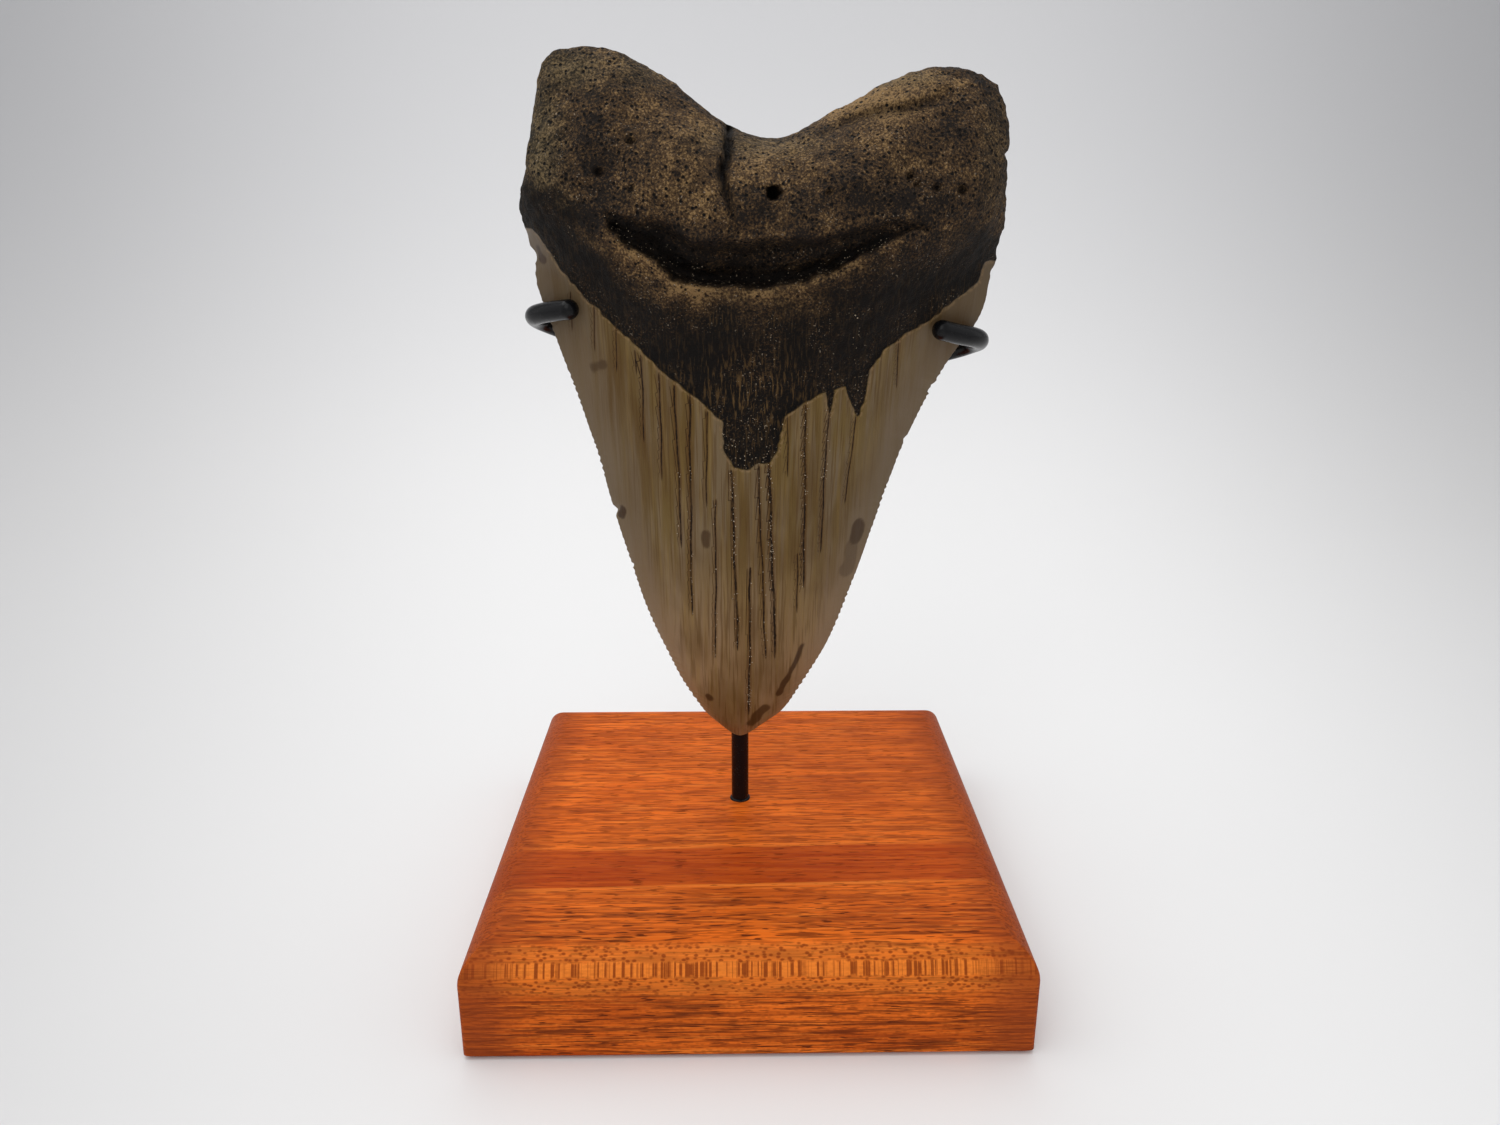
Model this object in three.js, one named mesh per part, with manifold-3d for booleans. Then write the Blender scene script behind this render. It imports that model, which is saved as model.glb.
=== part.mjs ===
// A fossil megalodon tooth, root up and point down, held by a bent wire cradle on a wooden base.
// Millimetres, +Z up. The origin is the middle of the base's underside, and the tooth's tongue side faces -Y.
import * as THREE from "three";
import { ParametricGeometry } from "three/addons/geometries/ParametricGeometry.js";
import { mergeGeometries, mergeVertices } from "three/addons/utils/BufferGeometryUtils.js";
import Module from "manifold-3d";

const wasm = await Module();
wasm.setup();

// Pieces that touch keep this much room.
const TOUCH_GAP = 0.3;

// Wooden base: a square of planed board with a round routed along its top edge.
const BASE_SIDE = 89;
const BASE_HEIGHT = 19;
const BASE_TOP_ROUND = 6;
const BASE_CORNER_ROUND = 0.8;
const BASE_FOOT_CHAMFER = 0.8;
const BASE_SHARPEST_CORNER = 0.5;

// Wire: one painted steel rod for the post, and one bent rod for the cradle on top of it.
const WIRE_RADIUS = 1.6;
const WIRE_END_BEVEL = 0.4;
const POST_X = -1.2;
const POST_Y = 2;
const POST_SOCKET_DEPTH = 12;
const POST_SIDES = 20;
const CRADLE_APEX_HEIGHT = 94;
const CRADLE_SIDES = 10;
const CRADLE_STEPS = 64;

// Tooth: its tip stands in front of the post, and its flat lip side faces the post and the cradle.
const TIP_HEIGHT = 34.1;
const ENAMEL_THICKNESS = 0.6;
const CROWN_EDGE_DEPTH = 2.2;
const ROOT_EDGE_DEPTH = 9;
const ROOT_BEGINS_AT_MIDDLE = 58;
const ROOT_BEGINS_AT_EDGES = 84;
const ROOT_BLEND = 18;
const LUMP_HEIGHT = 0.5;
const LUMP_LENGTH_ACROSS = 4.1;
const LUMP_LENGTH_UP = 5.3;
const CROWN_SECTION_POWER = 1.9;
const ROOT_SECTION_POWER = 2.8;
// Shares of the tooth's height over which its top and its tip turn over.
const TOP_ROUNDING = 0.1;
const TIP_ROUNDING = 0.05;
const TOOTH_COLUMNS = 32;
const TOOTH_ROWS = 38;

// The tooth's outline as [across, up] from the tip, in four edges that meet at the corners.
const LEFT_EDGE = [
  [-3.7, 2.4], [-6.6, 5.3], [-10.1, 10.7], [-13.7, 18.5], [-16.7, 26.1], [-20.9, 40.8], [-24.4, 54.7],
  [-28.6, 68.1], [-31.2, 76], [-32.6, 81], [-32.5, 83.4], [-33.8, 91], [-31.6, 98.9], [-29.9, 107.2],
  [-29.3, 110.1],
];
const RIGHT_EDGE = [
  [4, 2.4], [7.7, 5.2], [11.4, 10.7], [15.6, 18.5], [18.6, 26.1], [23.3, 40.8], [27.9, 54.7],
  [34.2, 67.5], [39.1, 74.9], [40.6, 81], [42.1, 88], [40.8, 96.5], [40.1, 104], [38.3, 109.1],
];
const TIP_EDGE = [[-3.7, 2.4], [0, 0], [4, 2.4]];
const ROOT_TOP_EDGE = [
  [-29.3, 110.1], [-27.3, 113.2], [-24, 114.2], [-20.5, 114], [-16.6, 113.1], [-11.1, 110.2], [-7.3, 107.7],
  [-3.9, 105], [1.6, 102.4], [4.7, 101.7], [8.4, 102.5], [16.8, 106.9], [25, 110.8], [29.7, 111.6],
  [34.5, 111.1], [38.3, 109.1],
];

// Depth of the tongue side's crest in front of the lip side, at heights above the tip.
const CREST_HEIGHTS = [0, 4, 10, 20, 32, 44, 56, 66, 74, 80, 86, 92, 98, 104, 110, 115];
const CREST_DEPTHS = [2.6, 5, 7.4, 9.8, 12, 14, 16, 17.8, 19.4, 20.8, 22, 22.2, 21, 18.8, 16.4, 14.4];

// Upper border of the enamel on each side, from left to right, with the patch peeled off the middle.
const ENAMEL_BORDER_FRONT = [
  [-31.4, 89], [-26.8, 82.2], [-21.2, 76.4], [-15.2, 71.2], [-9.1, 66.1], [-2.7, 60.5], [-2.3, 55.7],
  [-0.8, 53.1], [2.9, 53.9], [4.8, 53.8], [6.1, 55.9], [6.7, 61.2], [12.4, 64.8], [14, 61.1], [15, 65.1],
  [16.5, 65.7], [18.9, 60.2], [20.3, 67.9], [25.7, 73.2], [34.2, 78.4], [39.1, 84],
];
const ENAMEL_BORDER_BACK = [[-31.4, 89], [-20, 84], [-8, 78], [3, 75.5], [14, 77.5], [28, 82], [39.1, 84]];
// The tongue side's border holds in front of this depth, and the lip side's behind it.
const SIDES_PART_DEPTH = 5;
const SIDES_OVERLAP = 0.5;
// Under the enamel, the crown's edges draw in towards its middle by this share for each millimetre of enamel.
const CORE_INSET = 0.02;
const CROWN_MIDDLE = [3, 70];

// Gouges cut in the root's tongue side, with [across, up] along the middle of each. Lean turns a section's deep
// end to one side: down in the crescent hollow under the root's brow, and left in the cleft below the notch.
const CRESCENT = {
  path: [[-15, 91.5], [-11, 87.5], [-6.5, 84.4], [-1, 83], [5, 83.4], [12, 85], [18, 87.3], [25, 89]],
  halfWidth: 3.2, halfDepth: 5, lean: -1.2,
};
const CLEFT = {
  path: [[-1.5, 104], [-1.8, 99], [-2.3, 96], [-2, 93.5], [-1.2, 90]],
  halfWidth: 1, halfDepth: 3, lean: -0.6,
};
const CREASE = {
  path: [[11, 101], [16, 103.7], [20.4, 104.9], [24.7, 105.6], [31, 107.5]],
  halfWidth: 1.1, halfDepth: 1.1, lean: 0,
};
const GOUGE_STEPS = 16;
const GOUGE_SIDES = 10;
const GOUGE_BLUNTNESS = 0.6;

// The nutrient hole beside the cleft, and the larger pits as [across, up, radius].
const NUTRIENT_HOLE = { across: 4.9, up: 93.8, mouthRadius: 1.05, endRadius: 0.7, depth: 4, sides: 12 };
const PITS = [
  [-18.2, 89.1, 1], [-15.3, 100.7, 0.8], [-20, 96.6, 0.9], [-15.1, 94.4, 0.7], [12.6, 93.8, 0.6],
  [24.3, 96.1, 0.8], [25.4, 94.9, 0.7], [28.3, 94.5, 0.8], [32.2, 94.3, 0.9],
];

const woodFinish = new THREE.MeshStandardMaterial({ color: 0xb4501d, roughness: 0.45, metalness: 0 });
const blackPaint = new THREE.MeshStandardMaterial({ color: 0x0d0d0f, roughness: 0.25, metalness: 0 });
const fossil = new THREE.MeshStandardMaterial({ color: 0x6b5c46, roughness: 0.6, metalness: 0 });

// Turns closed three.js geometry into a solid that can be joined and cut.
function solidOf(...geometries) {
  const bare = geometries.map((geometry) => {
    const copy = geometry.index ? geometry.toNonIndexed() : geometry.clone();
    copy.deleteAttribute("normal");
    copy.deleteAttribute("uv");
    return copy;
  });
  const merged = mergeVertices(mergeGeometries(bare), 1e-4);
  const corners = Array.from(merged.index.array);
  const triangles = [];
  for (let k = 0; k < corners.length; k += 3) {
    const [a, b, c] = corners.slice(k, k + 3);
    if (a !== b && b !== c && c !== a) triangles.push(a, b, c);
  }
  return new wasm.Manifold(new wasm.Mesh({
    numProp: 3,
    vertProperties: new Float32Array(merged.attributes.position.array),
    triVerts: new Uint32Array(triangles),
  }));
}

function geometryOf(solid) {
  const mesh = solid.getMesh();
  const geometry = new THREE.BufferGeometry();
  geometry.setAttribute("position", new THREE.BufferAttribute(new Float32Array(mesh.vertProperties), 3));
  geometry.setIndex(new THREE.BufferAttribute(new Uint32Array(mesh.triVerts), 1));
  geometry.computeVertexNormals();
  return geometry;
}

function piece(name, solid, material) {
  const mesh = new THREE.Mesh(geometryOf(solid), material);
  mesh.name = name;
  return mesh;
}

// Base

// A square with round corners, as points round its edge.
function squareRing(half, corner, height, cornerSteps) {
  const ring = [];
  for (let quarter = 0; quarter < 4; quarter += 1) {
    for (let step = 0; step <= cornerSteps; step += 1) {
      const turn = (quarter + step / cornerSteps) * Math.PI / 2;
      const middle = (quarter + 0.5) * Math.PI / 2;
      const reach = (half - corner) * Math.SQRT2;
      ring.push(new THREE.Vector3(
        reach * Math.cos(middle) + corner * Math.cos(turn),
        reach * Math.sin(middle) + corner * Math.sin(turn),
        height,
      ));
    }
  }
  return ring;
}

function baseSolid() {
  const half = BASE_SIDE / 2;
  const cornerSteps = 4;
  const roundSteps = 6;
  const profile = [[BASE_FOOT_CHAMFER, 0], [0, BASE_FOOT_CHAMFER]];
  for (let step = 0; step <= roundSteps; step += 1) {
    const turn = step / roundSteps * Math.PI / 2;
    const inset = BASE_TOP_ROUND * (1 - Math.cos(turn));
    profile.push([inset, BASE_HEIGHT - BASE_TOP_ROUND * (1 - Math.sin(turn))]);
  }
  const rings = profile.map(([inset, height]) => {
    const corner = Math.max(BASE_CORNER_ROUND - inset, BASE_SHARPEST_CORNER);
    return squareRing(half - inset, corner, height, cornerSteps);
  });
  const around = rings[0].length;
  const collapsed = (height) => new Array(around).fill(new THREE.Vector3(0, 0, height));
  const levels = [collapsed(0), ...rings, collapsed(BASE_HEIGHT)];
  const skin = new ParametricGeometry((u, v, target) => {
    const level = Math.round(v * (levels.length - 1));
    const place = Math.round(u * around) % around;
    target.copy(levels[level][place]);
  }, around, levels.length - 1);
  const socketRadius = WIRE_RADIUS + TOUCH_GAP;
  const socket = new THREE.CylinderGeometry(socketRadius, socketRadius, POST_SOCKET_DEPTH * 2, POST_SIDES);
  socket.rotateX(Math.PI / 2);
  socket.translate(POST_X, POST_Y, BASE_HEIGHT);
  return solidOf(skin).subtract(solidOf(socket));
}

// Post and cradle

function postSolid() {
  const foot = BASE_HEIGHT - POST_SOCKET_DEPTH + TOUCH_GAP;
  const top = CRADLE_APEX_HEIGHT - WIRE_RADIUS - TOUCH_GAP;
  const narrow = WIRE_RADIUS - WIRE_END_BEVEL;
  const profile = [
    [0, foot], [narrow, foot], [WIRE_RADIUS, foot + WIRE_END_BEVEL],
    [WIRE_RADIUS, top - WIRE_END_BEVEL], [narrow, top], [0, top],
  ];
  const points = profile.map(([radius, height]) => new THREE.Vector2(radius, height));
  const rod = new THREE.LatheGeometry(points, POST_SIDES);
  rod.rotateX(Math.PI / 2);
  return solidOf(rod);
}

// The bent wire's middle line: hook, sloping arm, low apex on the post, sloping arm, hook.
function cradlePath() {
  const leftHook = [
    [-27.6, -9.5, 111], [-29.6, -8, 110.7], [-31.7, -6.2, 110.3], [-33.4, -4.2, 109.8], [-34.2, -2, 109.3],
    [-33.9, 0.2, 108.6], [-32.6, 1.6, 107.8],
  ];
  const arms = [
    [-30.2, POST_Y, 106.8], [-24, POST_Y, 104.2], [-14, POST_Y, 99.9], [-6, POST_Y, 96.2],
    [POST_X, POST_Y, CRADLE_APEX_HEIGHT],
    [4, POST_Y, 95.4], [14, POST_Y, 98], [24, POST_Y, 100.6], [33.4, POST_Y, 103.1],
  ];
  const rightHook = [
    [36, 1.5, 103.9], [37.6, 0.1, 104.7], [38.1, -2, 105.3], [37.4, -4.3, 105.9],
    [35.7, -6.4, 106.5], [33.2, -8.2, 107.1], [30.6, -9.7, 107.8],
  ];
  const points = [...leftHook, ...arms, ...rightHook].map((point) => new THREE.Vector3(...point));
  return new THREE.CatmullRomCurve3(points);
}

function cradleSolid() {
  const path = cradlePath();
  const outline = new THREE.EllipseCurve(0, 0, WIRE_RADIUS, WIRE_RADIUS);
  const section = new THREE.Shape(outline.getPoints(CRADLE_SIDES).slice(0, CRADLE_SIDES));
  const sweep = { steps: CRADLE_STEPS, bevelEnabled: false, extrudePath: path };
  const wire = new THREE.ExtrudeGeometry(section, sweep);
  const ends = [path.getPointAt(0), path.getPointAt(1)].map((end) => {
    const bead = new THREE.SphereGeometry(WIRE_RADIUS, CRADLE_SIDES, CRADLE_SIDES / 2 + 1);
    bead.translate(end.x, end.y, end.z);
    return solidOf(bead);
  });
  return ends.reduce((whole, bead) => whole.add(bead), solidOf(wire));
}

// Tooth, in its own frame: x across, z up from the tip, and -y is depth in front of the lip side

const edgeCurve = (points) => new THREE.SplineCurve(points.map(([x, z]) => new THREE.Vector2(x, z)));
const leftCurve = edgeCurve(LEFT_EDGE);
const rightCurve = edgeCurve(RIGHT_EDGE);
const tipCurve = edgeCurve(TIP_EDGE);
const topCurve = edgeCurve(ROOT_TOP_EDGE);
const crestDepth = new THREE.CubicInterpolant(CREST_HEIGHTS, CREST_DEPTHS, 1);

// A sheet stretched between the four edges: u runs across from 0 to 1, and v up from 0 to 1.
function outlinePoint(u, v) {
  const left = leftCurve.getPointAt(v);
  const right = rightCurve.getPointAt(v);
  const tip = tipCurve.getPointAt(u);
  const top = topCurve.getPointAt(u);
  const corner = (a, b) => a.clone().lerp(b, u);
  const lowCorners = corner(leftCurve.getPoint(0), rightCurve.getPoint(0));
  const highCorners = corner(leftCurve.getPoint(1), rightCurve.getPoint(1));
  return left.lerp(right, u).add(tip.lerp(top, v)).sub(lowCorners.lerp(highCorners, v));
}

const roundOff = (t) => Math.sqrt(Math.max(0, 1 - t * t));

// How far a place belongs to the root: the border hangs down in a chevron at the middle of the tooth.
function rootShare(u, height) {
  const begins = THREE.MathUtils.lerp(ROOT_BEGINS_AT_MIDDLE, ROOT_BEGINS_AT_EDGES, Math.abs(2 * u - 1));
  return THREE.MathUtils.smoothstep(height, begins, begins + ROOT_BLEND);
}

// Low waves worn into the root.
function rootLumps(x, height) {
  const across = x / LUMP_LENGTH_ACROSS;
  const up = height / LUMP_LENGTH_UP;
  return LUMP_HEIGHT * (Math.sin(across + 0.6) * Math.sin(up) + 0.6 * Math.sin(1.8 * across - 1.7 * up));
}

// Depths of the tongue side and the lip side at one place of the sheet. Skin is added all round.
function toothDepths(u, v, place, skin) {
  const offCentre = Math.abs(2 * u - 1);
  const root = rootShare(u, place.y);
  const crownSection = 1 - offCentre ** CROWN_SECTION_POWER;
  const rootSection = Math.sqrt(Math.max(0, 1 - offCentre ** ROOT_SECTION_POWER));
  const section = THREE.MathUtils.lerp(crownSection, rootSection, root);
  const nearTop = THREE.MathUtils.clamp((v - 1 + TOP_ROUNDING) / TOP_ROUNDING, 0, 1);
  const nearTip = THREE.MathUtils.clamp(1 - v / TIP_ROUNDING, 0, 1);
  const fullness = section * roundOff(nearTop) * roundOff(nearTip);
  const edge = THREE.MathUtils.lerp(CROWN_EDGE_DEPTH, ROOT_EDGE_DEPTH, root);
  const crest = crestDepth.evaluate(place.y)[0] + skin + root * rootLumps(place.x, place.y);
  return { front: edge + (crest - edge) * fullness, back: edge - (edge + skin) * fullness };
}

// The root's point on the tongue side at [across, up], found by walking over the sheet.
function frontPoint([x, z]) {
  const width = RIGHT_EDGE.at(-1)[0] - LEFT_EDGE.at(-1)[0];
  const height = LEFT_EDGE.at(-1)[1];
  const walkRounds = 40;
  let u = 0.5;
  let v = 0.5;
  for (let round = 0; round < walkRounds; round += 1) {
    const place = outlinePoint(u, v);
    u = THREE.MathUtils.clamp(u + (x - place.x) / width, 0, 1);
    v = THREE.MathUtils.clamp(v + (z - place.y) / height, 0, 1);
  }
  return new THREE.Vector3(x, -toothDepths(u, v, outlinePoint(u, v), -ENAMEL_THICKNESS).front, z);
}

// Rows and columns sit closer together where the surface turns over at the outline.
function closerAtEnds(t) {
  const ease = 0.5 - 0.5 * Math.cos(Math.PI * t);
  const easeShare = 0.6;
  return THREE.MathUtils.lerp(t, ease, easeShare);
}

// The whole tooth with so much skin added. A negative skin also draws the crown's edges in.
function toothBody(skin) {
  const middle = new THREE.Vector2(...CROWN_MIDDLE);
  const side = (sign) => (u, v, target) => {
    const across = closerAtEnds(sign > 0 ? u : 1 - u);
    const up = closerAtEnds(v);
    const place = outlinePoint(across, up);
    const depths = toothDepths(across, up, place, skin);
    place.lerp(middle, CORE_INSET * -skin * (1 - rootShare(across, place.y)));
    target.set(place.x, sign > 0 ? -depths.front : -depths.back, place.y);
  };
  return solidOf(
    new ParametricGeometry(side(1), TOOTH_COLUMNS, TOOTH_ROWS),
    new ParametricGeometry(side(-1), TOOTH_COLUMNS, TOOTH_ROWS),
  );
}

// A block that holds everything below one enamel border, between two depths.
function enamelBlock(border, nearDepth, farDepth) {
  const reach = BASE_SIDE;
  const outline = [
    [-reach, border[0][1]], ...border, [reach, border.at(-1)[1]], [reach, -reach], [-reach, -reach],
  ];
  const shape = new THREE.Shape(outline.map(([x, z]) => new THREE.Vector2(x, z)));
  const block = new THREE.ExtrudeGeometry(shape, { depth: farDepth - nearDepth, bevelEnabled: false });
  block.rotateX(Math.PI / 2);
  block.translate(0, -nearDepth, 0);
  return solidOf(block);
}

// A spindle that lies along a path on the tongue side, and cuts a hollow there.
function gouge({ path, halfWidth, halfDepth, lean }) {
  const curve = new THREE.CatmullRomCurve3(path.map(frontPoint));
  return solidOf(new ParametricGeometry((u, v, target) => {
    const along = curve.getTangent(v);
    const sideways = new THREE.Vector3(-along.z, 0, along.x).normalize();
    const taper = Math.sin(Math.PI * v) ** GOUGE_BLUNTNESS;
    const turn = -2 * Math.PI * (Math.round(u * GOUGE_SIDES) % GOUGE_SIDES) / GOUGE_SIDES;
    const inward = Math.sin(turn) * taper;
    target.copy(curve.getPoint(v));
    target.addScaledVector(sideways, Math.cos(turn) * taper * halfWidth + Math.max(0, inward) * lean);
    target.y += inward * halfDepth;
  }, GOUGE_SIDES, GOUGE_STEPS));
}

function nutrientHole() {
  const { across, up, mouthRadius, endRadius, depth, sides } = NUTRIENT_HOLE;
  const mouth = frontPoint([across, up]);
  const drill = new THREE.CylinderGeometry(endRadius, mouthRadius, depth * 2, sides);
  drill.translate(mouth.x, mouth.y, mouth.z);
  return solidOf(drill);
}

function pit([x, z, radius]) {
  const scoop = new THREE.IcosahedronGeometry(radius, 1);
  const place = frontPoint([x, z]);
  scoop.translate(place.x, place.y, place.z);
  return solidOf(scoop);
}

function toothSolid() {
  const core = toothBody(-ENAMEL_THICKNESS);
  const whole = toothBody(0);
  const frontBlock = enamelBlock(ENAMEL_BORDER_FRONT, SIDES_PART_DEPTH, BASE_SIDE);
  const backEnd = SIDES_PART_DEPTH + SIDES_OVERLAP;
  const backBlock = enamelBlock(ENAMEL_BORDER_BACK, -BASE_SIDE, backEnd);
  const grown = core.add(whole.intersect(frontBlock.add(backBlock)));
  const hollows = [gouge(CRESCENT), gouge(CLEFT), gouge(CREASE), nutrientHole(), ...PITS.map(pit)];
  return hollows.reduce((rest, hollow) => rest.subtract(hollow), grown);
}

const post = piece("post", postSolid(), blackPaint);
post.position.set(POST_X, POST_Y, 0);

const tooth = piece("tooth", toothSolid(), fossil);
tooth.position.set(POST_X, POST_Y - WIRE_RADIUS - TOUCH_GAP, TIP_HEIGHT);

const display = new THREE.Group();
display.add(piece("base", baseSolid(), woodFinish), post, piece("cradle", cradleSolid(), blackPaint), tooth);

export default display;
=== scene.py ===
# %% [markdown]
# # A fossil shark tooth on its stand
# The object is a worn fossil tooth, root up and point down. Two hooks of a bent black wire hold it
# in front of a post, and the post stands in a block of oiled red-brown wood. Each step below makes
# one piece or one finish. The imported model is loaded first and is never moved: it says where each
# piece goes, and how large it is.

import math

import bpy
import numpy as np
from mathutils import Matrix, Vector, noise


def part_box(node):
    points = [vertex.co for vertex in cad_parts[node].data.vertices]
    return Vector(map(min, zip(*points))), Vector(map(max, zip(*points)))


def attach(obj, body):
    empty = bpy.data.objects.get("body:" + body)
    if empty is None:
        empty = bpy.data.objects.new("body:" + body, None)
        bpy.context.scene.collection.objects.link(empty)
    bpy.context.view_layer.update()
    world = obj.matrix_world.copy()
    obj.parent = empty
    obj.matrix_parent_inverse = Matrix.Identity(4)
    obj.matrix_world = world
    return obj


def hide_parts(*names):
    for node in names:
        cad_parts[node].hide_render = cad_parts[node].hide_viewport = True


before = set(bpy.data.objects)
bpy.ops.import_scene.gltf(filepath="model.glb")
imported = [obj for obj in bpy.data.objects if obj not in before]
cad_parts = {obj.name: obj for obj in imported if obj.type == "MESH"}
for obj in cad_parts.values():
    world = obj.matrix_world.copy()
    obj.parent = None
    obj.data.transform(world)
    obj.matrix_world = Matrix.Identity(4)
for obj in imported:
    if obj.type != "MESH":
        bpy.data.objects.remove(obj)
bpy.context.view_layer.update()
MM = 0.001
for node in sorted(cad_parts):
    low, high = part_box(node)
    print(node, [round(c / MM, 1) for c in low], [round(c / MM, 1) for c in high])

# %% [markdown]
# ## The camera
# A photograph taken close up with a wide lens makes the near edge of a square block look longer
# than the far one. Moving the camera to the right distance matters more than its lens, because only
# the distance sets that ratio. These values were found from the corners of the block, whose size
# was settled first: a short lens, about 18 cm in front of the block's middle.

# %% Camera
CAMERA_EYE = (-1.86 * MM, -182.03 * MM, 124.61 * MM)
CAMERA_LOOKS_DOWN = 17.648
CAMERA_TURNS_RIGHT = 0.791
CAMERA_LENS = 26.035
CAMERA_NEAREST = 5 * MM

lens = bpy.data.cameras.new("close_camera")
lens.sensor_width = 36
lens.lens = CAMERA_LENS
lens.clip_start = CAMERA_NEAREST
camera = bpy.data.objects.new("close_camera", lens)
camera.location = CAMERA_EYE
camera.rotation_euler = (math.radians(90 - CAMERA_LOOKS_DOWN), 0, math.radians(-CAMERA_TURNS_RIGHT))
bpy.context.scene.collection.objects.link(camera)
bpy.context.scene.camera = camera
print("camera", CAMERA_LENS, "mm lens,", round(-CAMERA_EYE[1] / MM), "mm in front of the middle")

# %% [markdown]
# ## Node trees as sums
# Finishes and node modifiers are trees of small nodes, and wiring them by hand hides what they work
# out. One class wraps a socket, so that `1 - mask` or `streak * 0.4 + cloud` adds the Math nodes it
# needs. Its `node` method adds any other kind of node: the settings are set first, then the
# sockets. A colour goes through Mix, never Math.

# %% A socket that can be added and multiplied
class Socket:
    """One socket of a node tree. Without a plug it is the bare tree, from which the first node is made."""

    def __init__(self, tree, plug=None):
        self.tree = tree
        self.plug = plug

    def node(self, kind, settings=None, sockets=None, output=0):
        made = self.tree.nodes.new(kind)
        for name, setting in (settings or {}).items():
            setattr(made, name, setting)
        for key, value in (sockets or {}).items():
            if isinstance(value, Socket):
                self.tree.links.new(value.plug, made.inputs[key])
            else:
                made.inputs[key].default_value = value
        return Socket(self.tree, made.outputs[output] if made.outputs else None)

    def sibling(self, output):
        return Socket(self.tree, self.plug.node.outputs[output])

    def math(self, operation, first, second):
        return self.node("ShaderNodeMath", {"operation": operation}, {0: first, 1: second})

    def __add__(self, other):
        return self.math("ADD", self, other)

    __radd__ = __add__

    def __sub__(self, other):
        return self.math("SUBTRACT", self, other)

    def __rsub__(self, other):
        return self.math("SUBTRACT", other, self)

    def __mul__(self, other):
        return self.math("MULTIPLY", self, other)

    __rmul__ = __mul__

    def __truediv__(self, other):
        return self.math("DIVIDE", self, other)

    def __pow__(self, other):
        return self.math("POWER", self, other)

    def __abs__(self):
        return self.math("ABSOLUTE", self, 0)

    def least(self, other):
        return self.math("MINIMUM", self, other)

    def most(self, other):
        return self.math("MAXIMUM", self, other)

    def rises(self, low, high):
        """0 below low, 1 above high and a smooth rise between. With low above high it falls instead."""
        limits = {"Value": self, "From Min": low, "From Max": high}
        return self.node("ShaderNodeMapRange", {"interpolation_type": "SMOOTHSTEP"}, limits)


# %% [markdown]
# ## Shared shader words
# All patterns are solid: they read the piece's own Object coordinates, in millimetres, so a grain
# runs through the block as it does in real wood, with no seams. `grain` is noise whose lumps have a
# stated length on each axis.

# %% Words that every finish uses
def new_finish(name):
    """An empty material, and the bare tree that its nodes are written on."""
    material = bpy.data.materials.new(name)
    material.use_nodes = True
    material.node_tree.nodes.clear()
    return material, Socket(material.node_tree)


def close_finish(paper, sockets):
    shader = paper.node("ShaderNodeBsdfPrincipled", {}, sockets)
    paper.node("ShaderNodeOutputMaterial", {}, {"Surface": shader})


def millimetres(paper):
    place = paper.node("ShaderNodeTexCoord", output="Object")
    return paper.node("ShaderNodeVectorMath", {"operation": "SCALE"}, {0: place, "Scale": 1 / MM})


def grain(place, lengths, detail=2.0, roughness=0.5, shift=0.0, distortion=0.0):
    """Noise from 0 to 1 whose lumps are so many millimetres long across, along and up."""
    scale = [1 / length for length in lengths]
    stretch = {0: place, 1: scale, 2: (shift, shift * 1.7, shift * 2.3)}
    stretched = place.node("ShaderNodeVectorMath", {"operation": "MULTIPLY_ADD"}, stretch)
    looks = {"Scale": 1.0, "Detail": detail, "Roughness": roughness, "Distortion": distortion}
    return place.node("ShaderNodeTexNoise", {}, {"Vector": stretched, **looks})


def colour(value):
    return value if isinstance(value, Socket) else (*value, 1)


def blend(share, first, second):
    """The first colour where share is 0, the second where it is 1."""
    sockets = {0: share, 6: colour(first), 7: colour(second)}
    return share.node("ShaderNodeMix", {"data_type": "RGBA"}, sockets, output=2)


def measured(paper, name):
    """A number that the mesh stores at each of its points."""
    return paper.node("ShaderNodeAttribute", {"attribute_name": name}, output="Fac")


def raised(height, strength, distance):
    """A normal that tilts as if the surface rose by distance, in millimetres, where height is 1."""
    bump = {"Strength": strength, "Distance": distance * MM, "Height": height}
    return height.node("ShaderNodeBump", {}, bump)


# %% [markdown]
# ## The wooden block
# The base is a square of board with a round routed along its top edge. A cube with a Bevel modifier
# would round the foot as well, so the block is lofted instead: rings of points go up the side, over
# the round, across the top to the post's socket and down to its floor. Every ring has as many
# points, so the skin is a simple grid of quads.

# %% Loft the block
_, BASE_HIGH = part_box("base")
BASE_HALF = BASE_HIGH.x / MM
BASE_HEIGHT = BASE_HIGH.z / MM
BASE_TOP_ROUND = 6
BASE_CORNER_ROUND = 0.8
BASE_FOOT_CHAMFER = 0.8
SHARPEST_CORNER = 0.5
CORNER_STEPS = 6
ROUND_STEPS = 20
WIRE_RADIUS = 1.6
POST_PLACE = (-1.2, 2)
SOCKET_RADIUS = 1.75
SOCKET_DEPTH = 12


def square_ring(half, corner, height):
    """Points round a square with round corners."""
    ring = []
    for quarter in range(4):
        middle = (quarter + 0.5) * math.pi / 2
        reach = (half - corner) * math.sqrt(2)
        for step in range(CORNER_STEPS + 1):
            turn = (quarter + step / CORNER_STEPS) * math.pi / 2
            across = reach * math.cos(middle) + corner * math.cos(turn)
            along = reach * math.sin(middle) + corner * math.sin(turn)
            ring.append((across, along, height))
    return ring


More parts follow.
